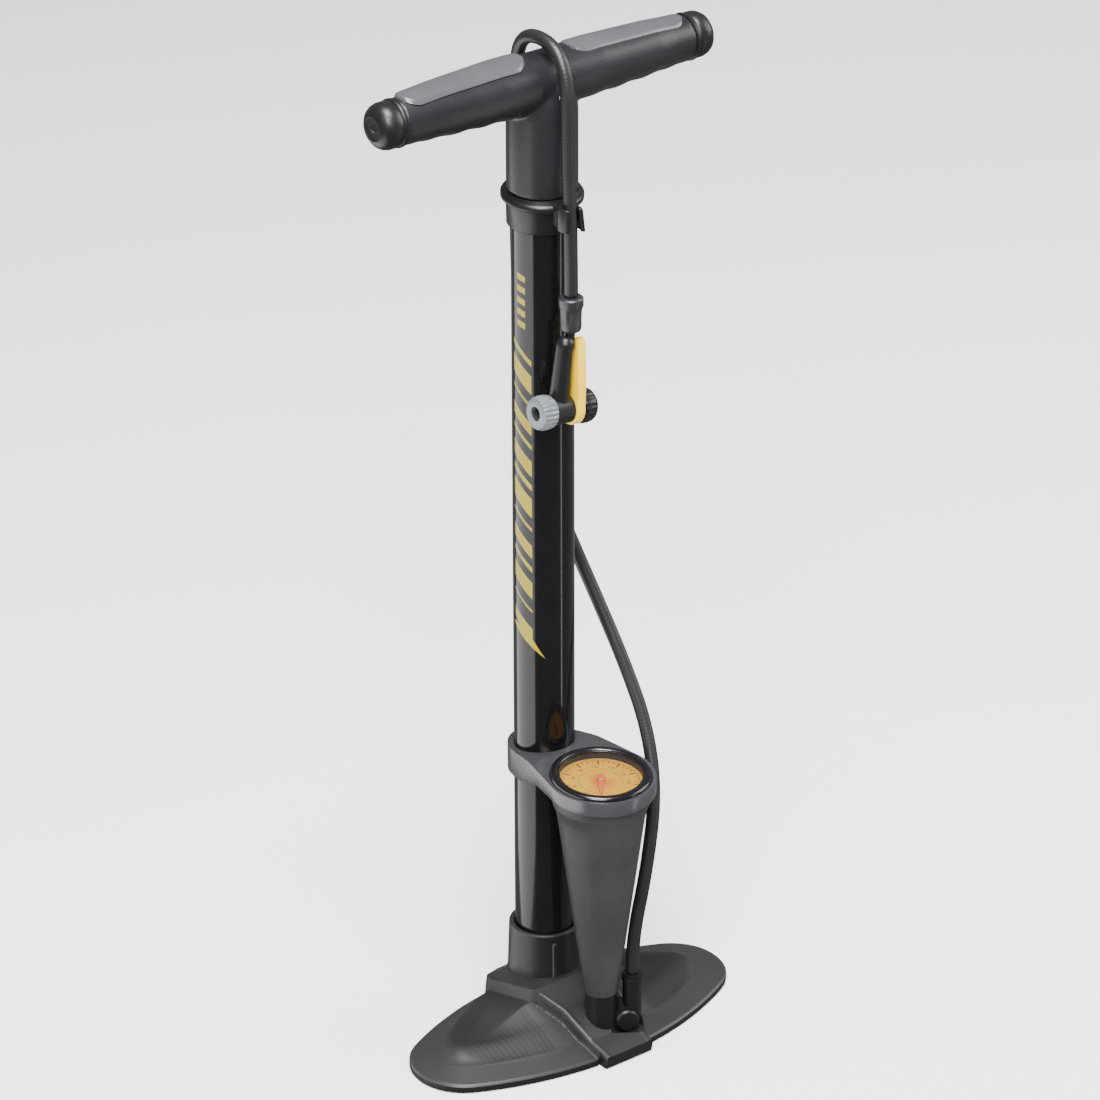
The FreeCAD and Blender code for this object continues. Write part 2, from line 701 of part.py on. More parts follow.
def gauge_movement():
    """Bourdon tube, toothed sector, pinion and needle."""
    pinion_pitch = MODULE * PINION_TEETH / 2
    sector_pitch = MODULE * SECTOR_TEETH / 2
    pivot = pinion_pitch + sector_pitch + 0.08
    shape = toothed(PINION_TEETH, PINION_TEETH, pinion_pitch - 0.4, pinion_pitch + 0.34, -12.4, 2.2)
    pinion = doc.addObject("Part::Feature", "pinion")
    pinion.Shape = shape.fuse(Part.makeCylinder(0.7, 13.0, Vector(0, 0, -18.0)))
    on_gauge(pinion, "gauge_pinion")

    count = 2 * int(SECTOR_SPAN / 2 / (360 / SECTOR_TEETH)) + 1
    root, tip = sector_pitch - 0.42, sector_pitch + 0.34
    facing = math.radians(90 - SECTOR_TRAVEL / 2)
    blade = toothed(SECTOR_TEETH, count, root, tip, -12.2, 1.6, -pivot, facing)
    hub = Part.makeCylinder(2.4, 1.6, Vector(0, -pivot, -12.2))
    room = Part.makeCylinder(sector_pitch - 2.6, 3, Vector(0, -pivot, -13))
    room = room.cut(Part.makeCylinder(4.0, 3, Vector(0, -pivot, -13)))
    spoke = Part.makeBox(1.8, 30, 3, Vector(-0.9, -pivot, -13))
    blade = blade.cut(room.cut(spoke)).fuse(hub)
    sector = doc.addObject("Part::Feature", "sector")
    sector.Shape = blade.cut(Part.makeCylinder(1.05, 4, Vector(0, -pivot, -14)))
    on_gauge(sector, "gauge_sector")

    plate = turned([(0.75, -15.6), (20.2, -15.6), (20.2, -14.6), (0.75, -14.6)])
    plate_cut = cut(plate, box(50, 30, 4, x=-25, y=6.5, z=-17), box(50, 30, 4, x=-25, y=-51.0, z=-17))
    pin = cylinder(1.0, 5.4, y=-pivot, z=-15.6)
    on_gauge(fuse(plate_cut, pin), "movement_plate")

    tube = doc.addObject("Part::Torus", "bourdon")
    tube.Radius1 = 16.5
    tube.Radius2 = 1.7
    tube.Angle3 = 285
    turn = Rotation(Vector(0, 0, 1), 110)
    place(tube, 0, 0, -21.5, turn)
    socket = box(5.0, 8.4, 4.4, x=-2.5, y=-19.8, z=-23.7)
    on_gauge(fuse(tube, socket), "bourdon_tube")

    edge = [(-6.0, 1.1), (0.0, 2.0), (19.5, 0.35)]
    needle = prism("XY_Plane", [(x, -y) for x, y in edge] + edge[::-1], 0.5)
    place(needle, 0, 0, -5.2, Rotation(Vector(0, 0, 1), NEEDLE_ANGLE))
    hub = cylinder(2.6, 1.5, z=-5.6)
    on_gauge(cut(fuse(needle, hub), cylinder(0.7, 0.8, z=-5.8)), "gauge_needle")


# ---------------------------------------------------------------------------------- top end
CLIP_X = -3.6
CLIP_Y = -30.2
CLIP_LOW = barrel_top - 9.0
CLIP_HIGH = barrel_top + 5.0


def collar():
    """Screwed collar on the barrel's top, with the hose clip on its front."""
    low, high = collar_low, collar_high
    lip = size("collar_lip_radius")
    bore = size("barrel_radius") + size("glue_gap")
    neck = size("bush_radius") + size("glue_gap")
    body = turned(
        [
            (bore, low),
            (size("collar_foot_radius"), low),
            (size("collar_foot_radius") + 0.8, high - 11.0),
            (lip, high - 8.0),
            (lip, high - 4.5),
            (lip - 1.6, high - 3.0),
            (size("stem_radius") - 0.6, high),
            (neck, high),
            (neck, barrel_top + 0.1),
            (bore, barrel_top + 0.1),
        ]
    )
    room = size("hose_radius") + 0.8
    height = CLIP_HIGH - CLIP_LOW
    clip = fuse(
        body,
        cylinder(room + 3.0, height, CLIP_X, CLIP_Y, CLIP_LOW),
        box(9.0, 12.0, height, x=CLIP_X - 4.5, y=CLIP_Y + 1.0, z=CLIP_LOW),
    )
    clip = cut(
        clip,
        cylinder(room, height + 20, CLIP_X, CLIP_Y, CLIP_LOW - 10),
        box(6.4, 12.0, height + 2, x=CLIP_X - 3.2, y=CLIP_Y - 12.0, z=CLIP_LOW - 1),
        cylinder(bore, barrel_top + 0.1),
    )
    node(clip, "collar")


def rod_guides():
    rod = size("rod_radius") + size("slide_gap")
    high = collar_high
    bush = size("bush_radius")
    node(
        turned(
            [
                (rod, high - size("bush_length")),
                (bush, high - size("bush_length")),
                (bush, high - 0.4),
                (bush - 1.4, high - 0.4),
                (bush - 1.4, high - 4.0),
                (rod, high - 4.0),
            ]
        ),
        "rod_bush",
    )
    node(
        turned(
            [
                (rod, high - 3.9),
                (bush - 1.5, high - 3.9),
                (bush - 1.5, high - 0.8),
                (rod + 1.2, high - 0.8),
                (rod, high - 1.6),
            ]
        ),
        "rod_wiper",
    )


# ---------------------------------------------------------------------------------- piston
def piston_set():
    rod = size("rod_radius")
    low = size("piston_low")
    top = low + size("piston_height")
    bore = rod - 1.0 + size("glue_gap")
    outer = barrel_bore - 0.25
    groove_low = low + 4.5
    groove_high = groove_low + size("seal_section") + 2.2
    core = outer - 3.4
    node(
        turned(
            [
                (bore, low),
                (outer - 0.8, low),
                (outer, low + 0.8),
                (outer, groove_low),
                (core, groove_low),
                (core, groove_high),
                (outer, groove_high),
                (outer, top - 0.8),
                (outer - 0.8, top),
                (bore, top),
            ]
        ),
        "piston",
    )
    lip = barrel_bore - size("slide_gap")
    node(
        turned(
            [
                (core + 0.1, groove_low + 0.1),
                (lip - 0.9, groove_low + 0.1),
                (lip, groove_low + 1.0),
                (lip, groove_high - 1.0),
                (lip - 0.9, groove_high - 0.1),
                (core + 0.1, groove_high - 0.1),
            ]
        ),
        "piston_seal",
    )
    nut_low = low - 5.0
    corners = [math.pi * i / 3 for i in range(6)]
    nut = prism("XY_Plane", [(7 * math.cos(turn), 7 * math.sin(turn)) for turn in corners], 4.8)
    place(nut, 0, 0, nut_low)
    node(cut(nut, cylinder(bore, 8, z=nut_low - 1)), "piston_nut")
    node(
        cut(
            cylinder(rod + 4.0, size("bumper_height"), z=top + 0.1),
            cylinder(rod + size("glue_gap"), size("bumper_height") + 2, z=top - 1),
        ),
        "top_bumper",
    )
    rod_top = handle_level + 4.0
    shaft = fuse(
        cylinder(rod, rod_top - top - 0.05, z=top + 0.05),
        cylinder(rod - 1.0, 30.0, z=nut_low + 0.2),
    )
    shaft = cut(
        shaft,
        cylinder(2.5 + size("glue_gap"), 20, y=-10, z=handle_level - 6.0, along="Y"),
    )
    node(shaft, "piston_rod")


# ---------------------------------------------------------------------------------- handle
def bar_profile(inset):
    """Half outline of the handle's bar from its middle to the end caps, drawn in by inset."""
    end = size("handle_half_length") - size("cap_length")
    hub, grip = size("hub_radius") - inset, size("grip_radius") - inset
    return [
        (hub, 0.0),
        (hub, 34.0),
        (grip + (hub - grip) * 0.52, end - 26.0),
        (grip + (hub - grip) * 0.24, end - 14.0),
        (grip, end),
    ], end


def arm(inset, side):
    points, end = bar_profile(inset)
    turn = Rotation(Vector(0, 1, 0), 90 * side)
    return turned([(0, 0.0)] + points + [(0, end)], 0, 0, handle_level, turn)


PAD_START = 15.0
PAD_END_GAP = 2.5


def pad_shape(side):
    """The pad's plan: a long rounded slot seen from above, over the bar's upper half."""
    half = size("pad_half_width")
    end = size("handle_half_length") - size("cap_length") - PAD_END_GAP
    low = handle_level + 4.0
    inner = PAD_START + half
    length = end - half * 0.8 - inner
    start_x = inner if side > 0 else -(inner + length)
    tip_x = (inner + length) * side
    plan = fuse(
        box(length, 2 * half, 20, x=start_x, y=-half, z=low),
        cylinder(half, 20, x=inner * side, y=0, z=low),
        cylinder(half, 20, x=tip_x, y=0, z=low),
    )
    shell = cut(arm(-size("pad_proud"), side), arm(size("pad_thickness") - size("pad_proud"), side))
    return common(shell, plan)


def handle():
    level = handle_level
    hub, stem = size("hub_radius"), size("stem_radius")
    low = collar_high + size("stem_gap")
    body = fuse(
        arm(0, 1),
        arm(0, -1),
        turned(
            [
                (0, low),
                (stem, low),
                (stem, level - 14.0),
                (stem - 1.6, level - 4.0),
                (hub - 1.0, level + 6.0),
                (0, level + 6.0),
            ]
        ),
    )
    cavity_high = level - 22.0
    pads = [pad_shape(-1), pad_shape(1)]
    body = cut(
        body,
        cylinder(stem - size("stem_wall"), cavity_high - low + 1.0, z=low - 1.0),
        cylinder(size("rod_radius") + size("glue_gap"), level + 4.3 - cavity_high, z=cavity_high),
        cylinder(2.5 + size("glue_gap"), 60, y=-30, z=level - 6.0, along="Y"),
        *pads,
    )
    node(body, "handle_core")
    node(pad_shape(-1), "grip_pad_left")
    node(pad_shape(1), "grip_pad_right")
    for side, name in ((-1, "end_cap_left"), (1, "end_cap_right")):
        grip = size("grip_radius")
        start = size("handle_half_length") - size("cap_length") + 0.05
        end = size("handle_half_length")
        cap = turned(
            [
                (0, start),
                (grip, start),
                (grip, end - 8.0),
                (grip - 1.4, end - 4.0),
                (grip - 4.6, end - 1.2),
                (grip - 8.5, end),
                (0, end),
            ],
            0,
            0,
            level,
            Rotation(Vector(0, 1, 0), 90 * side),
        )
        node(cap, name)
    node(cylinder(2.5, 37, y=-18.5, z=level - 6.0, along="Y"), "handle_pin")


# ---------------------------------------------------------------------------------- hose
# Corners of the hose's route, from the elbow to the ferrule.
HOSE_ROUTE = [
    (17.22, -62.03, 46.0),
    (17.22, -62.03, 68.0),
    (27.5, -62.5, 112.0),
    (41.0, -54.0, 155.0),
    (48.0, -37.0, 191.0),
    (46.5, -17.0, 226.0),
    (43.0, 3.0, 259.0),
    (37.0, 20.0, 293.0),
    (24.0, 31.0, 338.0),
    (13.0, 33.5, 395.0),
    (8.0, 33.0, 455.0),
    (5.0, 31.0, 515.0),
    (3.0, 27.0, 572.0),
    (1.0, 24.0, 625.0),
    (-1.0, -24.0, 625.0),
    (-3.0, -27.5, 568.0),
    (-3.8, -31.0, 513.0),
    (-3.8, -31.0, 481.0),
]
ROUND = 0.45


def hose_path(points):
    """Straight runs joined by tangent arcs, with the length and the radii."""
    corners = [Vector(*p) for p in points]
    edges, radii = [], []
    last = corners[0]
    for before, here, after in zip(corners, corners[1:], corners[2:]):
        back, ahead = before - here, after - here
        reach = ROUND * min(back.Length, ahead.Length)
        half_turn = (math.pi - back.getAngle(ahead)) / 2
        radius = reach / math.tan(half_turn)
        radii.append(radius)
        enter = here + back.normalize() * reach
        leave = here + ahead.normalize() * reach
        inward = (back + ahead).normalize()
        middle = here + inward * (radius / math.cos(half_turn) - radius)
        edges.append(Part.LineSegment(last, enter).toShape())
        edges.append(Part.Arc(enter, middle, leave).toShape())
        last = leave
    edges.append(Part.LineSegment(last, corners[-1]).toShape())
    return Part.Wire(edges), radii


def hose():
    path, radii = hose_path(HOSE_ROUTE)
    start = Vector(*HOSE_ROUTE[0])
    direction = Vector(*HOSE_ROUTE[1]) - start
    radius = size("hose_radius").value
    section = Part.Wire(Part.makeCircle(radius, start, direction))
    thing = doc.addObject("Part::Feature", "hose")
    thing.Shape = path.makePipeShell([section], True, False)
    expected = math.pi * radius ** 2 * path.Length
    print("hose radii", [round(r) for r in radii])
    print("hose length", round(path.Length, 1), "mm")
    print("hose volume", round(thing.Shape.Volume), "expected", round(expected), "mm3")
    node(thing, "hose")


# ---------------------------------------------------------------------------------- head
HEAD_CENTRE = Vector(-10.5, -32.0, 413.5)
head_turn = Rotation(Vector(0, 1, 0), size("head_tilt").value)


def on_head(thing, name, turn=Rotation()):
    """Seat a piece drawn about the middle of the ports on the hanging head."""
    node(place(thing, HEAD_CENTRE.x, HEAD_CENTRE.y, HEAD_CENTRE.z, head_turn * turn), name)


def head():
    reach, port = size("port_reach"), size("port_radius")
    gap = size("glue_gap")
    axle = 5.5
    body = fuse(
        cylinder(port - 1.6, 12.4, x=-9.6, along="X"),
        cylinder(axle, 19.0, x=-9.6, along="X"),
        cone(6.1, 4.9, 37.0, x=-3.4, z=2.0),
        sphere(5.4, -2.6, 0.4, 39.0),
        cylinder(3.3, 9.0, x=-0.4, y=0.6, z=37.4),
    )
    body = cut(
        body,
        cylinder(2.0, 40, x=-20, along="X"),
        cylinder(2.0, 60, x=-1.6, z=0),
    )
    on_head(body, "head_body")
    for name, side, bore, start, outer in (
        ("presta", -1, size("presta_radius"), 9.8, port),
        ("schrader", 1, size("schrader_radius"), 9.8, port + 0.3),
    ):
        turn = Rotation(Vector(0, 1, 0), 90 * side)
        room = bore + 3.6
        cap = turned(
            [
                (room + gap, start),
                (outer - 0.8, start),
                (outer, start + 0.8),
                (outer, reach - 1.8),
                (outer - 1.8, reach),
                (bore + 1.2, reach),
                (bore + 1.2, reach - 1.2),
                (room + gap, reach - 1.2),
            ]
        )
        on_head(cap, f"{name}_cap", turn)
        grommet = turned(
            [(bore, start + 0.2), (room, start + 0.2), (room, reach - 1.3), (bore, reach - 1.3)]
        )
        on_head(grommet, f"{name}_grommet", turn)
    pin = fuse(cylinder(1.0, 2.6, x=7.2, along="X"), cylinder(1.95, 1.2, x=7.0, along="X"))
    on_head(pin, "valve_pin")
    length = size("lever_length")
    hub = cylinder(port + 0.8, 6.0, x=3.2, along="X")
    blade_side = prism(
        "YZ_Plane",
        [
            (-9.6, 0.0),
            (-6.0, length * 0.55),
            (-4.0, length - 3.0),
            (-1.2, length),
            (1.6, length - 2.0),
            (3.4, length * 0.5),
            (9.6, 0.0),
        ],
        6.0,
    )
    place(blade_side, 3.2, 0, 0)
    lever = cut(fuse(hub, blade_side), cylinder(axle + size("slide_gap"), 20, x=-5, along="X"))
    on_head(lever, "lever")
    x, y, z = HOSE_ROUTE[-1]
    ferrule = turned(
        [
            (0, 0),
            (4.9, 0),
            (5.6, 1.0),
            (6.0, 5.0),
            (6.2, 6.0),
            (6.4, size("ferrule_length") - 6.0),
            (7.1, size("ferrule_length") - 5.0),
            (7.1, size("ferrule_length") - 0.8),
            (6.2, size("ferrule_length")),
            (0, size("ferrule_length")),
        ],
        x,
        y,
        z - size("ferrule_length").value,
    )
    node(ferrule, "head_ferrule")


# ---------------------------------------------------------------------------------- build
base_plate()
rubber_feet()
base_screws()
barrel()
barrel_plug()
check_valve()
air_path()
hose_elbow()
gauge_tower()
gauge_bracket()
gauge_housing()
gauge_movement()
collar()
rod_guides()
piston_set()
handle()
hose()
head()
doc.recompute()

failed = [t for t in doc.Objects if "Invalid" in t.State or "Error" in t.State]
if failed:
    raise RuntimeError("failed: " + ", ".join(f"{t.Name} ({t.Label})" for t in failed))
for thing in nodes:
    if thing.Shape.isNull() or not thing.Shape.isValid():
        raise RuntimeError(f"{thing.Label} has no valid shape")

os.makedirs("parts", exist_ok=True)
for thing in nodes:
    thing.Shape.exportStep(f"parts/{thing.Label}.step")
print(len(nodes), "nodes written")
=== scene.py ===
# %% [markdown]
# # A floor pump for bicycle tyres
# The imported model is a fixed frame: every piece below but the hose rides on one of its bodies.
# Sizes are in metres, +Z is up the barrel, and the gauge is on the -Y side.

# %% Load the frame
import json
import math
import bpy
from mathutils import Matrix, Vector


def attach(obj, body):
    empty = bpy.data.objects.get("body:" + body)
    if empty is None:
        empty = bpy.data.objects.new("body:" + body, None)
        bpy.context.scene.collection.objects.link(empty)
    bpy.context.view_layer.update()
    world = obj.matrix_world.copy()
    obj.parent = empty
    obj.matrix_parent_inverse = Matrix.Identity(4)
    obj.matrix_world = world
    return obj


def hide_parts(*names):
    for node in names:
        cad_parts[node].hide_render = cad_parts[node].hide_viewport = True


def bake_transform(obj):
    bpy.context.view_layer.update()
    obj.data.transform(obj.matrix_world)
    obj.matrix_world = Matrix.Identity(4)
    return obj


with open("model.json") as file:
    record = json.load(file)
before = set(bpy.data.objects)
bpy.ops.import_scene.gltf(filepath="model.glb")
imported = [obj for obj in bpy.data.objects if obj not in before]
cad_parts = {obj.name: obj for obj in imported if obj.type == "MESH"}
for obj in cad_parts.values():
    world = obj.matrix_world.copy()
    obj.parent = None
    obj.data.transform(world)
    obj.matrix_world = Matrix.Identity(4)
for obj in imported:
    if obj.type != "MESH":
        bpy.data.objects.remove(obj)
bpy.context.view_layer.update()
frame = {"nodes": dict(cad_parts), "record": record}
MM = 0.001

# %% [markdown]
# ## Camera
# A long lens far away keeps the barrel's sides almost parallel. The camera stands to the left
# of the front and looks down by about a quarter of a right angle.

# %% Camera
CAMERA_TURN = math.radians(-37.72)
CAMERA_RISE = math.radians(26.86)
CAMERA_ROLL = math.radians(-0.22)
CAMERA_DISTANCE = 3.1777
CAMERA_AIM = Vector((0, 0, 0.320))
back = Vector(
    (
        math.sin(CAMERA_TURN) * math.cos(CAMERA_RISE),
        -math.cos(CAMERA_TURN) * math.cos(CAMERA_RISE),
        math.sin(CAMERA_RISE),
    )
)
right = Vector((math.cos(CAMERA_TURN), math.sin(CAMERA_TURN), 0))
up = back.cross(right)
camera = bpy.data.objects.new("camera", bpy.data.cameras.new("camera"))
bpy.context.scene.collection.objects.link(camera)
turn = Matrix((right, up, back)).transposed() @ Matrix.Rotation(CAMERA_ROLL, 3, "Z")
camera.matrix_world = Matrix.Translation(CAMERA_AIM + back * CAMERA_DISTANCE) @ turn.to_4x4()
camera.data.sensor_width = 36
camera.data.lens = 180
camera.data.shift_x = 0.0059
camera.data.shift_y = -0.0172
camera.data.clip_end = 50
bpy.context.scene.camera = camera
print("camera at", [round(value, 3) for value in camera.matrix_world.translation])

# %% [markdown]
# ## Floor and light
# A plain pale floor fills the view. A broad lamp over the left shoulder is the main light, and
# two cards close beside the pump draw the long streaks on the gloss barrel. The cards light
# nothing else, and the floor stays out of the reflections, which keeps the black parts dark.

# %% Floor and light
bpy.ops.object.select_all(action="DESELECT")
bpy.ops.mesh.primitive_plane_add(size=16)
floor = bpy.context.object
floor.name = "floor"


def lamp(name, place, target, size, watts):
    """An area light of that width and height, turned to face target."""
    light = bpy.data.lights.new(name, "AREA")
    light.shape = "RECTANGLE"
    light.size, light.size_y = size
    light.energy = watts
    thing = bpy.data.objects.new(name, light)
    bpy.context.scene.collection.objects.link(thing)
    thing.location = place
    thing.rotation_euler = (Vector(target) - Vector(place)).to_track_quat("-Z", "Y").to_euler()
    thing.visible_camera = False
    return thing


lamp("key", (-1.3, -1.5, 2.3), (0, 0, 0.3), (1.2, 1.2), 150)
lamp("fill", (2.2, -0.9, 1.5), (0, 0, 0.3), (1.6, 1.6), 66)
lamp("top", (-0.26, -0.34, 2.6), (0, 0, 0.3), (0.9, 0.9), 160)
card_left = lamp("card_left", (-0.38, 0.178, 0.08), (0, 0, 0.08), (0.80, 0.56), 6.0)
strip_right = lamp("strip_right", (0.30, -0.50, 0.20), (0, 0, 0.28), (0.03, 0.7), 0.5)
for card in (card_left, strip_right):
    card.visible_diffuse = False
floor.visible_glossy = False
world = bpy.data.worlds.new("studio")
bpy.context.scene.world = world
world.use_nodes = True
world.node_tree.nodes["Background"].inputs["Color"].default_value = (1, 1, 1, 1)
world.node_tree.nodes["Background"].inputs["Strength"].default_value = 0.30

# %% [markdown]
# ## The hose
# The rubber hose is 8 mm across. It leaves the upright elbow, bows out past the gauge, goes up
# behind the barrel, over the handle and down the front through the collar's clip. Its route is
# one NURBS line; a ring of the hose's size follows that line to make the tube.

# %% Hose route
HOSE_RADIUS = 0.004
HOSE_ROUTE = [
    (0.01722, -0.06203, 0.0460), (0.01722, -0.06203, 0.0680), (0.0275, -0.0625, 0.1120),
    (0.0410, -0.0540, 0.1550), (0.0480, -0.0370, 0.1910), (0.0465, -0.0170, 0.2260),
    (0.0430, 0.0030, 0.2590), (0.0370, 0.0200, 0.2930), (0.0240, 0.0310, 0.3380),
    (0.0130, 0.0335, 0.3950), (0.0080, 0.0330, 0.4550), (0.0050, 0.0310, 0.5150),
    (0.0030, 0.0270, 0.5720), (0.0010, 0.0240, 0.6250), (-0.0010, -0.0240, 0.6250),
    (-0.0030, -0.0275, 0.5680), (-0.0038, -0.0310, 0.5130), (-0.0038, -0.0310, 0.4810),
]


def line_points(route, smoothness):
    """Points along one NURBS line that has the route as its control points."""
    curve = bpy.data.curves.new("route", "CURVE")
    curve.dimensions = "3D"
    curve.resolution_u = smoothness
    spline = curve.splines.new("NURBS")
    spline.points.add(len(route) - 1)
    for point, place in zip(spline.points, route):
        point.co = (*place, 1)
    spline.order_u = 3
    spline.use_endpoint_u = True
    thing = bpy.data.objects.new("route", curve)
    bpy.context.scene.collection.objects.link(thing)
    mesh = bpy.data.meshes.new_from_object(thing)
    points = [v.co.copy() for v in mesh.vertices]
    bpy.data.meshes.remove(mesh)
    bpy.data.objects.remove(thing)
    return points


hose_line = line_points(HOSE_ROUTE, 24)
hose_length = sum((b - a).length for a, b in zip(hose_line, hose_line[1:]))
print(f"hose: {len(hose_line)} points, {hose_length:.3f} m")


# %% [markdown]
# The tube is a ring that is carried along the line, point by point, without twisting. It keeps
# how far along it each point is, for its finish.

# %% Hose tube
def tube_along(name, points, radius, sides):
    """A closed tube whose rings are carried along the points without twist."""
    count = len(points)
    tangents = []
    for i in range(count):
        ahead = points[min(i + 1, count - 1)] - points[max(i - 1, 0)]
        tangents.append(ahead.normalized())
    normal = tangents[0].orthogonal().normalized()
    vertices, uvs, travelled = [], [], 0.0
    for i, (point, tangent) in enumerate(zip(points, tangents)):
        normal = (normal - tangent * normal.dot(tangent)).normalized()
        side = tangent.cross(normal)
        if i:
            travelled += (point - points[i - 1]).length
        for k in range(sides):
            angle = 2 * math.pi * k / sides
            vertices.append(point + (normal * math.cos(angle) + side * math.sin(angle)) * radius)
            uvs.append(travelled)
    faces = []
    for i in range(count - 1):
        for k in range(sides):
            a, b = i * sides + k, i * sides + (k + 1) % sides
            faces.append((a, b, b + sides, a + sides))
    faces.append(tuple(range(sides))[::-1])
    faces.append(tuple((count - 1) * sides + k for k in range(sides)))
    mesh = bpy.data.meshes.new(name)
    mesh.from_pydata(vertices, [], faces)
    along = mesh.attributes.new("along", "FLOAT", "POINT")
    along.data.foreach_set("value", uvs)
    mesh.polygons.foreach_set("use_smooth", [len(f) == 4 for f in faces])
    thing = bpy.data.objects.new(name, mesh)
    bpy.context.scene.collection.objects.link(thing)
    return thing


hose = tube_along("hose_tube", hose_line, HOSE_RADIUS, 24)
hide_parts("hose")
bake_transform(hose)
print(f"hose: {len(hose.data.vertices)} points")

# %% [markdown]
# ## Finishes
# A finish is a shader's node sheet. Two small helpers keep it readable: Finish adds a node with
# its settings and inputs, and Value lets a node's output stand in an ordinary sum, so that
# `0.3 + 0.1 * grain` adds the Math nodes that it needs.

# %% Shader sums
class Value:
    """One number that a node gives out, for every point of a surface."""

    def __init__(self, finish, socket):
        self.finish = finish
        self.socket = socket

    def sum_with(self, operation, first, second):
        return self.finish.node("Math", {"operation": operation}, {0: first, 1: second})

    def __add__(self, other):
        return self.sum_with("ADD", self, other)

    __radd__ = __add__

    def __sub__(self, other):
        return self.sum_with("SUBTRACT", self, other)

    def __rsub__(self, other):
        return self.sum_with("SUBTRACT", other, self)

    def __mul__(self, other):
        return self.sum_with("MULTIPLY", self, other)

    __rmul__ = __mul__

    def __truediv__(self, other):
        return self.sum_with("DIVIDE", self, other)

    def __gt__(self, other):
        return self.sum_with("GREATER_THAN", self, other)

    def __lt__(self, other):
        return self.sum_with("LESS_THAN", self, other)

    def absolute(self):
        return self.finish.node("Math", {"operation": "ABSOLUTE"}, {0: self})

    def fraction(self):
        return self.finish.node("Math", {"operation": "FRACT"}, {0: self})

    def ease(self, low, high, start=0.0, end=1.0):
        """Goes smoothly from start to end while this value goes from low to high."""
        sockets = {"Value": self, "From Min": low, "From Max": high, "To Min": start, "To Max": end}
        return self.finish.node("MapRange", {"interpolation_type": "SMOOTHSTEP"}, sockets)


# %% [markdown]
# Finish is one material with one shader. Its node method adds any other node, with its settings
# first and then its inputs, and the small methods after it are the few that are used often.

# %% Shader sheet
class Finish:
    """A material with one shader; shader values that never vary are set on its own sockets."""

    def __init__(self, name, **constants):
        self.material = bpy.data.materials.new(name)
        self.material.use_nodes = True
        self.tree = self.material.node_tree
        self.tree.nodes.clear()
        self.shader = self.tree.nodes.new("ShaderNodeBsdfPrincipled")
        for socket, value in constants.items():
            self.shader.inputs[socket.replace("_", " ")].default_value = value
        output = self.tree.nodes.new("ShaderNodeOutputMaterial")
        self.tree.links.new(self.shader.outputs[0], output.inputs["Surface"])
        coordinates = self.tree.nodes.new("ShaderNodeTexCoord")
        self.place = Value(self, coordinates.outputs["Object"])

    def node(self, kind, settings=None, sockets=None, output=0):
        """Adds a node: its settings first, then the values or links of its sockets."""
        made = self.tree.nodes.new("ShaderNode" + kind)
        for name, value in (settings or {}).items():
            if name == "stops":
                while len(made.color_ramp.elements) < len(value):
                    made.color_ramp.elements.new(1.0)
                for element, (position, colour) in zip(made.color_ramp.elements, value):
                    element.position = position
                    element.color = (*colour, 1)
            else:
                setattr(made, name, value)
        for name, value in (sockets or {}).items():
            if isinstance(value, Value):
                self.tree.links.new(value.socket, made.inputs[name])
            else:
                made.inputs[name].default_value = value
        return Value(self, made.outputs[output])

    def set(self, socket, value):
        """Feeds a value that varies over the surface to one of the shader's sockets."""
        self.tree.links.new(value.socket, self.shader.inputs[socket])

    def noise(self, per_metre, detail=3.0, stretch=(1, 1, 1)):
        """Soft random spots, that many to a metre; stretch multiplies the count on each axis."""
        place = self.place
        if stretch != (1, 1, 1):
            place = self.node("Mapping", {}, {"Vector": self.place, "Scale": stretch})
        return self.node("TexNoise", {}, {"Vector": place, "Scale": per_metre, "Detail": detail})

    def between(self, mask, first, second):
        """The first colour where mask is 0, and the second where it is 1."""
        one = first if isinstance(first, Value) else (*first, 1)
        two = second if isinstance(second, Value) else (*second, 1)
        sockets = {0: mask, 6: one, 7: two}
        return self.node("Mix", {"data_type": "RGBA"}, sockets, output=2)

    def axes(self, place=None):
        """The place's three numbers: x, y and z."""
        parts = self.tree.nodes.new("ShaderNodeSeparateXYZ")
        self.tree.links.new((place or self.place).socket, parts.inputs[0])
        return [Value(self, parts.outputs[i]) for i in range(3)]

    def relief(self, height, depth):
        """Raises and sinks the surface's shading by up to depth metres."""
        sockets = {"Height": height, "Distance": depth, "Strength": 1.0}
        self.set("Normal", self.node("Bump", {}, sockets))


# %% Moulded surface
def moulded(name, colour, gloss, grain, depth, specular=0.5, mottle=0.12):
    """Moulded plastic or rubber: a fine grain, faint cloudy colour, and uneven shine."""
    finish = Finish(name, Specular_IOR_Level=specular)
    cloud = finish.noise(28, 4)
    dark = tuple(c * (1 - mottle) for c in colour)
    light = tuple(c * (1 + mottle) for c in colour)
    finish.set("Base Color", finish.between(cloud.ease(0.3, 0.7), dark, light))
    grains = finish.noise(grain, 2)
    finish.set("Roughness", gloss - 0.05 + 0.06 * cloud + 0.05 * grains)
    finish.relief(grains, depth)
    return finish


print("shader helpers ready")

# %% [markdown]
# ## Moulded black parts
# The handle, collar, elbow and hose head are moulded in nylon that is filled with glass, so they
# are nearly black with a dull sheen. They differ only in their shade and the size of their grain.

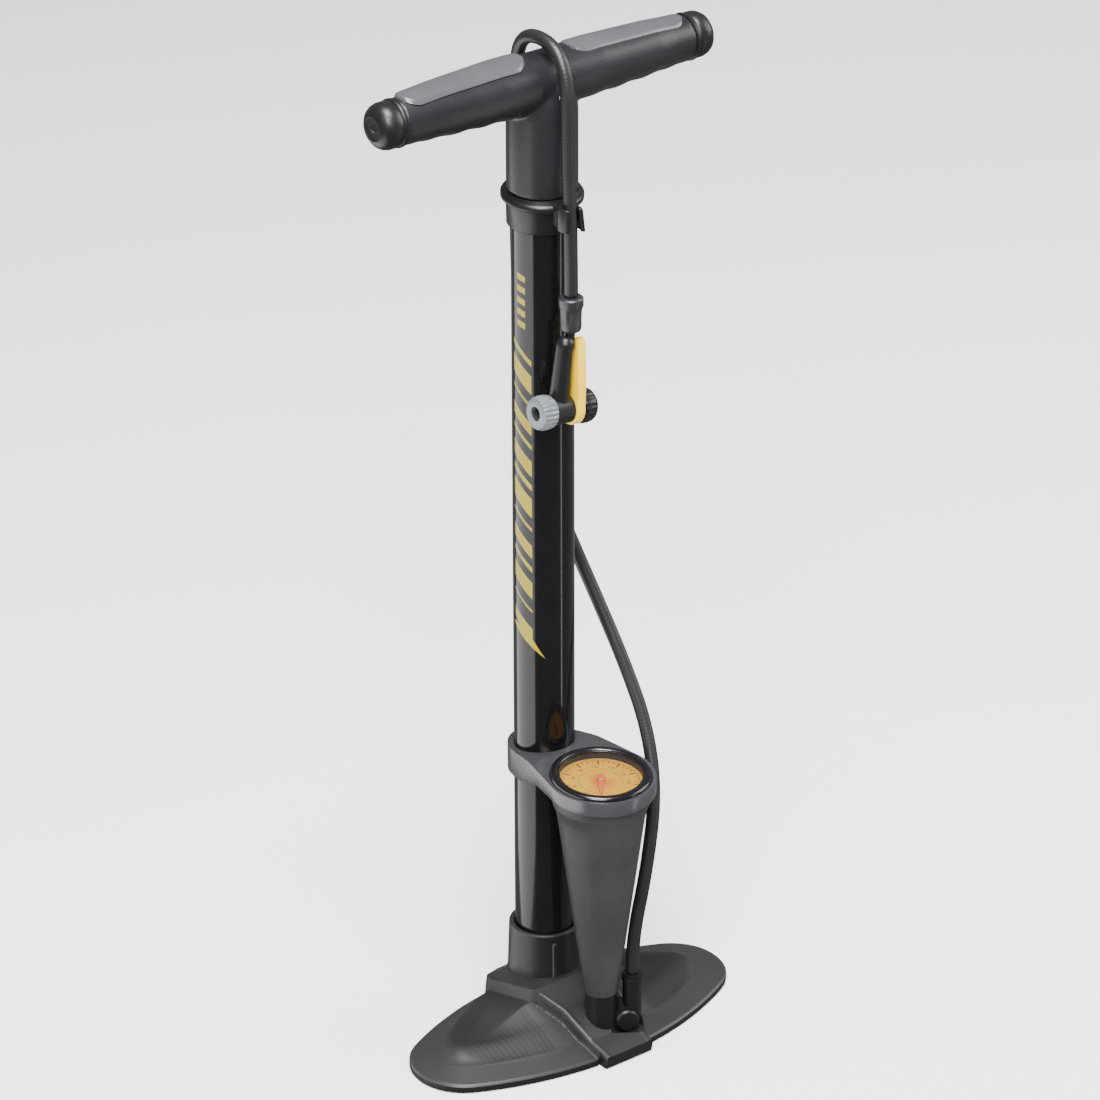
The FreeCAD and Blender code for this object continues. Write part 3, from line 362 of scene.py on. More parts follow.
# %% Moulded finishes
MOULDED = [
    ("rubber", "soft_rubber", (0.012, 0.012, 0.0125), 0.72, 500, 0.00015),
    ("black_plastic", "black_nylon", (0.0052, 0.0052, 0.006), 0.36, 900, 0.00006, 0.30),
    ("handle_rubber", "handle_nylon", (0.0085, 0.008, 0.0098), 0.33, 800, 0.00008, 0.35),
    ("tower_plastic", "tower_nylon", (0.022, 0.022, 0.0235), 0.42, 750, 0.00008, 0.30),
    ("bezel", "bezel_gloss", (0.004, 0.004, 0.005), 0.20, 1200, 0.00002, 0.40),
    ("ferrule", "ferrule_black", (0.012, 0.012, 0.014), 0.40, 900, 0.00005),
    ("yellow_plastic", "lever_yellow", (0.66, 0.42, 0.003), 0.34, 900, 0.00004, 0.50, 0.05),
    ("grey_pad", "soft_grey_grip", (0.050, 0.050, 0.055), 0.24, 650, 0.00010, 0.50, 0.10),
    ("silver_cap", "silver_cap", (0.105, 0.118, 0.128), 0.28, 900, 0.00004, 0.50, 0.08),
    ("needle_orange", "needle_orange", (0.42, 0.085, 0.012), 0.40, 900, 0.00002),
    ("dial_ink", "dial_ink", (0.10, 0.035, 0.010), 0.5, 900, 0.00001),
]
finishes = {}
for slot_name, *settings in MOULDED:
    finishes[slot_name] = moulded(*settings)
print("moulded:", sorted(finishes))

# %% [markdown]
# ## Metal parts
# Turned metal keeps fine rings from the lathe. Noise that is squeezed along the part's length
# gives such rings without drawing each one.


# %% Metal finishes
def turned_metal(name, colour, gloss, metallic=1.0, stretch=(6, 6, 220), depth=0.00002):
    """Metal that was turned or drawn, with fine lines where the tool went."""
    finish = Finish(name, Metallic=metallic)
    lines = finish.noise(10, 3, stretch)
    cloud = finish.noise(35, 3)
    dark = tuple(c * 0.88 for c in colour)
    finish.set("Base Color", finish.between(cloud.ease(0.35, 0.65), dark, colour))
    finish.set("Roughness", gloss - 0.06 + 0.12 * lines)
    finish.relief(lines, depth)
    return finish


METALS = [
    ("steel", "zinc_steel", (0.55, 0.55, 0.57), 0.34),
    ("rod_steel", "chrome_rod", (0.72, 0.72, 0.74), 0.12),
    ("aluminium", "aluminium", (0.72, 0.72, 0.72), 0.38),
    ("brass", "brass", (0.72, 0.52, 0.22), 0.30),
    ("bracket_metal", "bracket_silver", (0.070, 0.072, 0.078), 0.26, 0.60, (90, 90, 90), 0.00003),
]
for slot_name, *settings in METALS:
    finishes[slot_name] = turned_metal(*settings)
print(len(finishes), "finishes so far")

# %% [markdown]
# ## The foot's moulding
# The foot has a smooth bevelled border round two crowned wings, and the wings have fine ribs
# across them for grip. The ribs are too fine to model, so they are relief in the finish: a wave
# along X, kept to the wings by a mask that follows the oval.

# %% Foot finish
FOOT_CENTRE = (0, -0.024)
FOOT_HALF = (0.112, 0.052)
RIB_SPACING = 0.0032
foot = Finish("foot_nylon", Specular_IOR_Level=0.3)
foot_x, foot_y, foot_z = foot.axes()
across = foot_x / FOOT_HALF[0]
along = (foot_y - FOOT_CENTRE[1]) / FOOT_HALF[1]
outward = foot.node("Math", {"operation": "SQRT"}, {0: across * across + along * along})
on_wing = outward.ease(0.74, 0.80, 1, 0) * foot_z.ease(0.0085, 0.0105)
off_ridge = foot_x.absolute().ease(0.030, 0.040)
ribbed = on_wing * off_ridge
ribs = foot.node("Math", {"operation": "SINE"}, {0: foot_x * (2 * math.pi / RIB_SPACING)})
foot_cloud = foot.noise(22, 4)
foot_grain = foot.noise(800, 2)
smooth_colour = foot.between(foot_cloud, (0.0145, 0.0138, 0.014), (0.019, 0.018, 0.0183))
crown_colour = foot.between(foot_cloud, (0.0035, 0.0032, 0.0032), (0.0060, 0.0055, 0.0054))
# Steep faces, the ridge's walls and the rim, are darkened towards near black: this is painted shade
# where the walls stand in shadow.
foot_face = Value(foot, foot.tree.nodes.new("ShaderNodeNewGeometry").outputs["Normal"])
painted_wall_shade = foot.axes(foot_face)[2].ease(0.45, 0.80, 1, 0)
top_colour = foot.between(ribbed, smooth_colour, crown_colour)
foot.set("Base Color", foot.between(painted_wall_shade * 0.8, top_colour, (0.0035, 0.0034, 0.0036)))
foot.set("Roughness", 0.38 + 0.18 * ribbed + 0.08 * foot_cloud)
foot.relief(ribs * ribbed * 0.11 + 0.35 * foot_grain, 0.00016)
finishes["base_plastic"] = foot
print("foot finish:", len(foot.tree.nodes), "nodes")

# %% [markdown]
# ## The barrel's paint
# The barrel is gloss black with a column of plain yellow bars up its left side. The bars are
# found from the angle round the tube, so they lie on the curve without any picture. Each bar is
# a slanted band: how far up the point is, plus a share of how far round it is.

# %% Barrel finish
BARREL_RADIUS = 0.018
BARS_TURN = math.radians(-171)
paint = Finish("barrel_paint", Coat_Weight=0.2, Coat_Roughness=0.05, Specular_IOR_Level=0.22)
turned_place = paint.node(
    "Mapping", {"vector_type": "POINT"}, {"Vector": paint.place, "Rotation": (0, 0, -BARS_TURN)}
)
paint_x, paint_y, paint_z = paint.axes(turned_place)
angle = paint.node("Math", {"operation": "ARCTAN2"}, {0: paint_y, 1: paint_x})
around = angle * BARREL_RADIUS
EDGE = 0.00025


def band(value, low, high):
    """1 where value is between low and high, with a soft edge, and 0 elsewhere."""
    return value.ease(low - EDGE, low + EDGE) * value.ease(high - EDGE, high + EDGE, 1, 0)


slanted = (paint_z + 0.9 * around - 0.262) / 0.0262
uneven = ((slanted - slanted.fraction()) * 0.618).fraction()
wide_bars = band(slanted.fraction(), 0.08, 0.34 + 0.24 * uneven) * band(slanted, 0.0, 7.0)
thin_bars = band(slanted.fraction(), 0.74, 0.80 + 0.10 * uneven) * band(slanted, 0.0, 7.0)
large_bars = (wide_bars + thin_bars) * band(around, -0.0068, 0.0068)
small_step = (paint_z + 0.25 * around - 0.455) / 0.0072
small_bars = band(small_step.fraction(), 0.10, 0.62) * band(small_step, 0.0, 5.0)
small_bars = small_bars * band(around, -0.0030, 0.0030)
tail_width = (paint_z - 0.246) * 0.28
tail = band(paint_z, 0.246, 0.266) * ((around + 0.9 * (paint_z - 0.262)).absolute() < tail_width)
yellow_mask = large_bars + small_bars + tail
paint_cloud = paint.noise(60, 3)
black = paint.between(paint_cloud, (0.0028, 0.0028, 0.0034), (0.0045, 0.0045, 0.0052))
yellow = paint.between(paint_cloud, (0.235, 0.185, 0.001), (0.30, 0.235, 0.0015))
paint.set("Base Color", paint.between(yellow_mask, black, yellow))
paint.set("Roughness", 0.12 + 0.05 * paint_cloud + 0.10 * yellow_mask)
paint.relief(paint.noise(260, 2), 0.00002)
finishes["barrel_paint"] = paint
print("barrel finish:", len(paint.tree.nodes), "nodes")

# %% [markdown]
# ## The gauge's dial and its window
# The dial is a tilted printed disc. Its own flat axes come from a Mapping node that undoes the
# place and the tilt, and the distance and the angle from its middle then make rings and ticks.

# %% Dial and window
GAUGE_CENTRE = (0, -0.054, 0.1845)
GAUGE_TILT = math.radians(3)
DIAL_START = math.radians(232.3)
dial = Finish("dial_print", Specular_IOR_Level=0.3)
dial_place = dial.node(
    "Mapping",
    {"vector_type": "TEXTURE"},
    {"Vector": dial.place, "Location": GAUGE_CENTRE, "Rotation": (GAUGE_TILT, 0, 0)},
)
dial_x, dial_y = dial.axes(dial_place)[:2]
radius = dial.node("Math", {"operation": "SQRT"}, {0: dial_x * dial_x + dial_y * dial_y})
swing = dial.node("Math", {"operation": "ARCTAN2"}, {0: dial_x, 1: dial_y})
turns = swing / math.radians(270)
on_scale = band(turns, -0.502, 0.502)
small_tick = (((turns + 0.5) * 32 + 0.5).fraction() - 0.5).absolute() < 0.10
large_tick = (((turns + 0.5) * 8 + 0.5).fraction() - 0.5).absolute() < 0.045
ticks = small_tick * band(radius, 0.0208, 0.0228) + large_tick * band(radius, 0.0188, 0.0228)
rings = band(radius, 0.0229, 0.0233) + band(radius, 0.0128, 0.0131)
ink = (ticks + rings) * on_scale
segment = band(turns.absolute(), 0.10, 0.36) * band(radius, 0.0060, 0.0180)
dial_cloud = dial.noise(90, 3)
orange = dial.between(dial_cloud, (0.40, 0.190, 0.002), (0.50, 0.255, 0.004))
middle = dial.between(radius.ease(0.0, 0.016), (0.42, 0.105, 0.001), orange)
toned = dial.between(segment * 0.75, middle, (0.42, 0.240, 0.002))
dial.set("Base Color", dial.between(ink, toned, (0.10, 0.03, 0.008)))
dial.set("Roughness", 0.42 + 0.08 * dial_cloud)
finishes["dial"] = dial
print("dial finish:", len(dial.tree.nodes), "nodes")

# %% Window
window = Finish("clear_window", Alpha=0.10, Specular_IOR_Level=0.8)
window_cloud = window.noise(30, 3)
window.set("Base Color", window.between(window_cloud, (0.04, 0.04, 0.05), (0.08, 0.08, 0.09)))
window.set("Roughness", 0.03 + 0.05 * window_cloud)
finishes["lens"] = window
print("window finish:", len(window.tree.nodes), "nodes")

# %% [markdown]
# ## The hose's rubber
# The hose is smooth rubber with a faint lengthwise sheen. Its tube carries how far along it each
# point is, so the fine bands of the mould run round it wherever it bends.

# %% Hose finish
MOULD_BAND = 0.0021
rubber_hose = Finish("hose_rubber", Specular_IOR_Level=0.40)
along_hose = rubber_hose.node("Attribute", {"attribute_name": "along"}, {}, output=2)
band_turn = along_hose * (2 * math.pi / MOULD_BAND)
bands = rubber_hose.node("Math", {"operation": "SINE"}, {0: band_turn})
hose_cloud = rubber_hose.noise(45, 4)
dark_rubber, light_rubber = (0.0060, 0.0060, 0.0066), (0.0105, 0.0105, 0.0115)
rubber_hose.set("Base Color", rubber_hose.between(hose_cloud, dark_rubber, light_rubber))
rubber_hose.set("Roughness", 0.36 + 0.12 * hose_cloud)
rubber_hose.relief(0.4 * bands + rubber_hose.noise(900, 2), 0.00004)
finishes["hose_rubber"] = rubber_hose
print("hose finish:", len(rubber_hose.tree.nodes), "nodes")


# %% [markdown]
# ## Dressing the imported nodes
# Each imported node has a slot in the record, and the slot's name picks its finish. The pieces
# that are modelled below take theirs in the same way.

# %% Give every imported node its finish
def wear(thing, slot_name):
    """Gives a piece the finish of that slot."""
    thing.data.materials.clear()
    thing.data.materials.append(finishes[slot_name].material)


for row in frame["record"]["subparts"]:
    wear(frame["nodes"][row["node"]], row["material_slot"])
wear(hose, "hose_rubber")
floor_finish = Finish("floor_paper", Roughness=0.85, Specular_IOR_Level=0.15)
floor_cloud = floor_finish.noise(3, 2)
paper, pale_paper = (0.93, 0.93, 0.93), (0.95, 0.95, 0.95)
floor_finish.set("Base Color", floor_finish.between(floor_cloud, paper, pale_paper))
floor.data.materials.append(floor_finish.material)

# %% [markdown]
# ## Modelling helpers
# Every piece starts with nothing selected, because an operator acts on all that is selected.
# A turned piece is a circle that is extruded and scaled ring by ring, as on a lathe, and its
# sharp edges then get a small round from a Bevel modifier.

# %% Modelling helpers
def clear_selection():
    if bpy.context.object and bpy.context.object.mode != "OBJECT":
        bpy.ops.object.mode_set(mode="OBJECT")
    bpy.ops.object.select_all(action="DESELECT")


def pick(*things):
    """Selects these and nothing else, and makes the first the active one."""
    clear_selection()
    for thing in things:
        thing.select_set(True)
    bpy.context.view_layer.objects.active = things[0]


def edit_mesh(action="SELECT"):
    """Opens the active piece's mesh with all of it selected, or none."""
    bpy.ops.object.mode_set(mode="EDIT")
    bpy.ops.mesh.select_all(action=action)


def apply_modifier(thing, kind, **settings):
    """Adds a modifier to the active piece and applies it."""
    bpy.context.view_layer.objects.active = thing
    modifier = thing.modifiers.new(kind.lower(), kind)
    for name, value in settings.items():
        setattr(modifier, name, value)
    bpy.ops.object.modifier_apply(modifier=modifier.name)


def smooth(thing, degrees=35):
    pick(thing)
    bpy.ops.object.shade_smooth_by_angle(angle=math.radians(degrees))


def round_edges(thing, width, degrees=30):
    limit = {"limit_method": "ANGLE", "angle_limit": math.radians(degrees)}
    apply_modifier(thing, "BEVEL", width=width, segments=3, **limit)


def settle(thing, matrix=None):
    """Puts a piece in its place, leaves that place in its mesh, and turns its faces outwards."""
    pick(thing)
    if matrix is not None:
        thing.matrix_world = matrix @ thing.matrix_world
    bpy.ops.object.transform_apply(location=True, rotation=True, scale=True)
    edit_mesh()
    bpy.ops.mesh.remove_doubles(threshold=0.000005)
    bpy.ops.mesh.normals_make_consistent(inside=False)
    bpy.ops.object.mode_set(mode="OBJECT")


# %% Placing helper
def put(thing, body, slot_name, *nodes):
    """Gives a piece its finish, hides the nodes it stands for, and sets it on the body it rides on.
    """
    wear(thing, slot_name)
    if nodes:
        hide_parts(*nodes)
    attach(thing, body)
    print(f"{thing.name}: {len(thing.data.vertices)} points")


# %% Turning and placing helpers
def turned_piece(name, rings, sides=96, closed=False):
    """A lathe shape about Z from (radius, height) rings in millimetres."""
    clear_selection()
    if closed:
        rings = rings + rings[:1]
    radius, level = rings[0]
    start = (0, 0, level * MM)
    bpy.ops.mesh.primitive_circle_add(vertices=sides, radius=radius * MM, location=start)
    thing = bpy.context.object
    thing.name = name
    edit_mesh()
    if not closed:
        bpy.ops.mesh.edge_face_add()
    for next_radius, next_level in rings[1:]:
        step = {"value": (0, 0, (next_level - level) * MM)}
        bpy.ops.mesh.extrude_region_move(TRANSFORM_OT_translate=step)
        grow = next_radius / radius
        middle = (0, 0, next_level * MM)
        bpy.ops.transform.resize(value=(grow, grow, 1), center_override=middle)
        radius, level = next_radius, next_level
    bpy.ops.object.mode_set(mode="OBJECT")
    settle(thing)
    return thing


def turn_about(axis, degrees):
    return Matrix.Rotation(math.radians(degrees), 4, axis)


def move_by(x, y, z):
    return Matrix.Translation((x * MM, y * MM, z * MM))


def arc(radius, middle_y, start, stop, steps):
    turns = [start + (stop - start) * i / steps for i in range(steps + 1)]
    return [(radius * math.cos(t), middle_y + radius * math.sin(t)) for t in turns]


def ease(value, low, high):
    """0 below low, 1 above high, and smooth between."""
    share = min(max((value - low) / (high - low), 0), 1)
    return share * share * (3 - 2 * share)


# %% [markdown]
# ## The foot
# The real foot is one moulding: an oval plate with a sloping smooth border, a low crown on each
# wing, and a ridge from behind the barrel to a tongue at the front. Its soft blends are hard to
# build from solids, so it is a fine net of rings inside the outline, and a height is worked out
# for each point from its distance to the edge and to the ridge.

# %% Foot outline
FOOT_LONG, FOOT_WIDE, FOOT_FORWARD = 112, 52, 24
END_RADIUS = 33
END_REACH = FOOT_LONG - END_RADIUS
SIDE_RADIUS = (FOOT_LONG**2 + FOOT_WIDE**2 - 2 * FOOT_LONG * END_RADIUS) / (
    2 * (FOOT_WIDE - END_RADIUS)
)
SIDE_SHIFT = SIDE_RADIUS - FOOT_WIDE
END_TURN = math.atan2(SIDE_SHIFT, END_REACH)
print(f"foot outline: side radius {SIDE_RADIUS:.1f} mm")


def inside_oval(x, y):
    """Distance in from the oval's edge, in millimetres; negative outside."""
    along, across = abs(x), abs(y + FOOT_FORWARD)
    if math.atan2(across, along - END_REACH) < END_TURN and along > END_REACH:
        return END_RADIUS - math.hypot(along - END_REACH, across)
    return SIDE_RADIUS - math.hypot(along, across + SIDE_SHIFT)


# %% [markdown]
# The ridge is given by its half width and its height at a few places from the tongue's tip to
# behind the barrel. A point's height is the wing's, raised to the ridge's inside the ridge, and
# sunk where the elbow and the barrel go in.

# %% Foot height
RIDGE_HALF = [(-82, 17.5), (-64, 18.5), (-44, 22.0), (-24, 30.5), (6, 38.0), (14, 34.5), (26, 17)]
RIDGE_TOP = [(-82, 8.5), (-66, 12.5), (-46, 24.0), (-26, 33.0), (12, 28.0), (26, 19.0)]


def between_stations(stations, y):
    """The value at y on straight lines between the stations."""
    if y <= stations[0][0]:
        return stations[0][1]
    for (y0, v0), (y1, v1) in zip(stations, stations[1:]):
        if y <= y1:
            return v0 + (v1 - v0) * (y - y0) / (y1 - y0)
    return stations[-1][1]


def foot_height(x, y):
    """Height of the foot's top at x, y, in millimetres."""
    inside = inside_oval(x, y)
    half = between_stations(RIDGE_HALF, y)
    top = between_stations(RIDGE_TOP, y)
    wing = 4.4 + 0.8 * ease(inside, 0, 1.2) + 4.4 * min(max(inside, 0), 15) / 15
    wing += 5.0 * ease(inside, 13.5, 31)
    beside = math.exp(-((max(abs(x) - half, 0) / 23) ** 2)) * ease(inside, 6, 20)
    wing += max(top - 7.0 - wing, 0) * beside
    if y > 26:
        return wing
    wall = ease(half + 0.9 - abs(x), 0, 1.8) * ease(26.6 - y, 0, 1.2)
    height = wing + (top - wing) * wall
    rail = math.exp(-(((abs(x) - half + 2.6) / 1.1) ** 2)) * ease(-y, 24, 34)
    height += 0.5 * rail
    side = y + 54
    port = math.radians(25)
    reach = x * math.cos(port) - side * math.sin(port)
    beside_port = abs(x * math.sin(port) + side * math.cos(port))
    pocket = ease(reach, 4.0, 5.2) * ease(26.5 - reach, 0, 1.2) * ease(11.6 - beside_port, 0, 1.2)
    height += (min(height, 6.3) - height) * pocket
    under_barrel = ease(19.0 - math.hypot(x, y), 0, 1.2)
    return height + (min(height, 20.0) - height) * under_barrel


def foot_reach(angle):
    """How far the outline is from the oval's middle in that direction, in millimetres."""
    low, high = 20.0, 125.0
    c, s = math.cos(angle), math.sin(angle)
    for _ in range(30):
        middle = (low + high) / 2
        x, y = middle * c, middle * s - FOOT_FORWARD
        on_tongue = abs(x) < 17.5 and -82 < y < 0
        if inside_oval(x, y) > 0 or on_tongue:
            low = middle
        else:
            high = middle
    return low


# %% Foot plate
FOOT_SIDES, FOOT_RINGS = 480, 120
FOOT_MIDDLE = (0, -FOOT_FORWARD * MM, 0)
clear_selection()
bpy.ops.mesh.primitive_circle_add(vertices=FOOT_SIDES, radius=0.1, location=FOOT_MIDDLE)
foot_plate = bpy.context.object
foot_plate.name = "foot_plate"
settle(foot_plate)
for vertex in foot_plate.data.vertices:
    angle = math.atan2(vertex.co.y - FOOT_MIDDLE[1], vertex.co.x)
    reach = foot_reach(angle) * MM
    vertex.co = (reach * math.cos(angle), reach * math.sin(angle) + FOOT_MIDDLE[1], 0)
edit_mesh()
for ring in range(FOOT_RINGS):
    share = (FOOT_RINGS - ring - 1 + 0.35 * (ring == FOOT_RINGS - 1)) / (FOOT_RINGS - ring)
    bpy.ops.mesh.extrude_region_move()
    bpy.ops.transform.resize(value=(share, share, 1), center_override=FOOT_MIDDLE)
bpy.ops.mesh.edge_face_add()
bpy.ops.object.mode_set(mode="OBJECT")
for vertex in foot_plate.data.vertices:
    vertex.co.z = foot_height(vertex.co.x / MM, vertex.co.y / MM) * MM
edit_mesh("DESELECT")
bpy.ops.mesh.select_non_manifold(extend=False)
for drop, share in ((0.0026, 1.0), (0.0008, 0.999), (0.0, 0.985)):
    bpy.ops.mesh.extrude_region_move(TRANSFORM_OT_translate={"value": (0, 0, -drop)})
    bpy.ops.transform.resize(value=(share, share, 1), center_override=FOOT_MIDDLE)
bpy.ops.object.mode_set(mode="OBJECT")
rim_start = len(foot_plate.data.vertices) - FOOT_SIDES
for vertex in foot_plate.data.vertices[rim_start:]:
    vertex.co.z = 0.0009
bpy.ops.object.mode_set(mode="EDIT")
bpy.ops.mesh.edge_face_add()
bpy.ops.object.mode_set(mode="OBJECT")
settle(foot_plate)
smooth(foot_plate, 40)
put(foot_plate, "root", "base_plastic", "base_plate")

# %% [markdown]
# ## The socket round the barrel
# A tapered sleeve stands on the foot and holds the barrel. It has an open rounded lip at the
# top, and an upright rib on its front left that ends in the head of a small screw.

# %% Socket, rib and column under the tower
SOCKET_RINGS = [(18.2, 44), (18.2, 59), (18.7, 60), (21.0, 60), (21.6, 59.3)]
SOCKET_RINGS += [(22.6, 28), (24.2, 24), (24.2, 20), (18.2, 20)]
socket = turned_piece("barrel_socket", SOCKET_RINGS, 128, closed=True)
round_edges(socket, 0.0006)
smooth(socket)
put(socket, "root", "base_plastic", "base_plate")

rib = turned_piece(
    "socket_rib",
    [(2.7, 21), (2.7, 25.2), (2.1, 26.4), (1.4, 27), (1.4, 54), (1.0, 55.4), (0.4, 55.8)],
    32,
)
settle(rib, move_by(-9.2, -21.0, 0))
smooth(rib, 50)
put(rib, "root", "base_plastic", "base_plate")

# The column is part of the foot, but it wears the near-black nylon: its darker colour is painted
# shade under the tower.
column = turned_piece(
    "tower_column",
    [(12.5, 8), (10.6, 11), (9.9, 14), (9.6, 30), (9.6, 36.2), (6.1, 36.2), (6.1, 8)],
    96,
    closed=True,
)
settle(column, move_by(0, -54, 0))
smooth(column)
put(column, "root", "black_plastic", "base_plate")

# %% [markdown]
# ## The handle
# The handle is a bar that tapers to its ends, on a stem as thick as the barrel's collar. Its
# underside has shallow hollows for the fingers. The bar and the stem are turned as two pieces,
# joined, and remeshed into one skin, which rounds the place where they meet.

# %% Handle core
HANDLE_LEVEL = 601.0


def bar_radius(distance):
    """Radius of the bar at a distance from its middle, in millimetres."""
    stations = [(0, 16.8), (34, 16.8), (75, 15.17), (87, 14.22), (101, 13.4)]
    return between_stations(stations, distance)


bar_rings = [(bar_radius(abs(x)), x) for x in [-101 + 2.02 * i for i in range(101)]]
bar = turned_piece("handle_skin", bar_rings, 72)
settle(bar, turn_about("Y", 90))
for vertex in bar.data.vertices:
    along_bar = abs(vertex.co.x) / MM
    below = ease(-vertex.co.z / MM, 2, 12)
    hollow = 0.5 - 0.5 * math.cos(2 * math.pi * (along_bar - 28) / 19)
    held = ease(along_bar, 28, 32) * ease(96 - along_bar, 0, 8)
    vertex.co.z += 0.8 * MM * below * hollow * held
settle(bar, move_by(0, 0, HANDLE_LEVEL))
stem = turned_piece(
    "handle_stem",
    [(17.6, 572), (17.6, 536.3), (20.4, 536.3), (20.4, 584), (19.6, 592), (17.6, 599), (12, 603)],
    96,
)
pick(bar, stem)
bpy.ops.object.join()
settle(bar)
apply_modifier(bar, "REMESH", mode="VOXEL", voxel_size=0.0009)
apply_modifier(bar, "SMOOTH", factor=0.5, iterations=6)
smooth(bar, 60)
put(bar, "handle", "handle_rubber", "handle_core")

# %% [markdown]
# ## Grip pads
# A soft grey pad lies on each arm's upper side. It follows the bar's curve half a millimetre
# proud of it, is narrower at its rounded ends, and its edge turns down into the bar. It is a
# flat strip that is wrapped over the bar point by point, and then given its thickness.

# %% Grip pads
PAD_FROM, PAD_TO, PAD_HALF = 16.0, 98.0, 9.5


def pad_half_width(x):
    """Half width of the pad at x, in millimetres: a slot with round ends."""
    near = min(x - PAD_FROM, PAD_TO - x)
    half = PAD_HALF + 0.8 - 1.6 * (x - PAD_FROM) / (PAD_TO - PAD_FROM)
    if near >= half:
        return half
    return math.sqrt(max(half**2 - (half - near) ** 2, 0.01))


def grip_pad(name, side):
    clear_selection()
    bpy.ops.mesh.primitive_grid_add(x_subdivisions=96, y_subdivisions=20, size=2)
    pad = bpy.context.object
    pad.name = name
    for vertex in pad.data.vertices:
        share = 0.5 - 0.5 * math.cos(math.pi * (vertex.co.x + 1) / 2)
        x = PAD_FROM + 0.02 + (PAD_TO - PAD_FROM - 0.04) * share
        y = vertex.co.y * pad_half_width(x)
        edge = max(abs(vertex.co.y), abs(vertex.co.x))
        lift = 0.75 - 1.1 * ease(edge, 0.90, 1.0)
        z = HANDLE_LEVEL + math.sqrt((bar_radius(x) + lift) ** 2 - y * y)
        vertex.co = (side * x * MM, y * MM, z * MM)
    settle(pad)
    apply_modifier(pad, "SOLIDIFY", thickness=0.0012, offset=-side)
    settle(pad)
    smooth(pad, 50)
    return pad


for name, side in (("grip_left", -1), ("grip_right", 1)):
    put(grip_pad(name, side), "handle", "grey_pad", name.replace("grip_", "grip_pad_"))

# %% [markdown]
# ## End caps
# A cap closes each end of the bar. It is turned with a groove where it meets the bar, a soft
# shoulder, and a shallow dished face with a small pip.

# %% End caps
CAP_RINGS = [
    (12.9, 100.6), (13.9, 101.0), (14.1, 102.6), (13.6, 103.6), (13.0, 104.0), (13.5, 104.6),
    (13.5, 109.4), (12.9, 111.8), (11.6, 114.0), (9.4, 115.8), (7.4, 116.6), (6.9, 116.6),
    (6.4, 116.1), (2.4, 116.0), (2.0, 116.5), (0.6, 116.8),
]
for name, side in (("cap_left", -1), ("cap_right", 1)):
    cap = turned_piece(name, CAP_RINGS, 96)
    settle(cap, move_by(0, 0, HANDLE_LEVEL) @ turn_about("Y", 90 * side))
    smooth(cap, 40)
    put(cap, "handle", "black_plastic", name.replace("cap_", "end_cap_"))

# %% [markdown]
# ## The collar
# The collar is screwed on the barrel's top. Its skirt is only a little wider than the barrel, and
# its lip, close under the handle's stem, dips a little towards the hose's clip at the front.
# The lip is turned level, and its rings are then tilted by how far forward each point is.

# %% Collar
COLLAR_RINGS = [
    (18.1, 515), (19.9, 515), (20.4, 515.8), (20.6, 527.5), (21.2, 529.6), (22.7, 530.8),
    (23.6, 531.8), (23.7, 532.6), (23.7, 534.2), (23.1, 535.2), (21.6, 535.7), (20.9, 535.9),
    (9.2, 535.9), (9.2, 528.4), (18.1, 528.2),
]
collar = turned_piece("top_collar", COLLAR_RINGS, 144, closed=True)
for vertex in collar.data.vertices:
    height = vertex.co.z / MM
    forward = (-vertex.co.y * 0.93 - vertex.co.x * 0.1) / MM / 23.7
    on_lip = ease(height, 528, 531) * (vertex.co.xy.length > 0.0212)
    vertex.co.z -= 1.6 * MM * (forward + 0.4) * on_lip
settle(collar)
smooth(collar, 40)

# %% [markdown]
# The clip is an open ring, like the letter C, that holds the hose. Its outline is drawn from
# above and extruded upwards, and a short web joins it to the skirt.

# %% Clip
CLIP_PLACE = (-3.6, -30.2)
CLIP_MIDDLE, CLIP_HALF = 528.5, 7


def clip_outline(inner, outer, gap_degrees, steps=28):
    """An open ring, seen from above, with its gap towards the front."""
    start = math.radians(-90 + gap_degrees / 2)
    stop = math.radians(270 - gap_degrees / 2)
    return arc(outer, 0, start, stop, steps) + arc(inner, 0, start, stop, steps)[::-1]


def upright(name, outline, low, high, place=(0, 0), rounding=0.0006):
    """A flat outline in millimetres that is extruded upwards from low to high."""
    clear_selection()
    bpy.ops.mesh.primitive_circle_add(vertices=len(outline), radius=0.01)
    thing = bpy.context.object
    thing.name = name
    for vertex, (x, y) in zip(thing.data.vertices, outline):
        vertex.co = ((x + place[0]) * MM, (y + place[1]) * MM, low * MM)
    edit_mesh()
    bpy.ops.mesh.edge_face_add()
    bpy.ops.mesh.extrude_region_move(TRANSFORM_OT_translate={"value": (0, 0, (high - low) * MM)})
    bpy.ops.object.mode_set(mode="OBJECT")
    settle(thing)
    round_edges(thing, rounding, 40)
    return thing


clip = upright("hose_clip", clip_outline(4.9, 7.7, 84), 521.5, 535.6, CLIP_PLACE, 0.0008)
for vertex in clip.data.vertices:
    flare = (CLIP_MIDDLE - vertex.co.z / MM) / CLIP_HALF
    flare *= ease(vertex.co.x / MM, CLIP_PLACE[0], CLIP_PLACE[0] + 4)
    vertex.co.x += 0.9 * MM * flare
    vertex.co.z -= 1.5 * MM * ease(vertex.co.x / MM, CLIP_PLACE[0], CLIP_PLACE[0] + 6)
web = upright("clip_web", [(-8.6, -20.0), (-9.6, -27.5), (2.4, -27.5), (1.4, -20.0)], 522.5, 534.6)
pick(collar, web, clip)
bpy.ops.object.join()
smooth(collar, 40)
put(collar, "root", "black_plastic", "collar")

# %% [markdown]
# ## The gauge's bracket
# One grey casting clamps the barrel and carries the gauge. Seen from above it is two circles
# joined by tangent lines. That outline is extruded, its top and bottom are sloped, the two
# holes are cut with Boolean modifiers, and a Bevel gives the bright rounded rim.

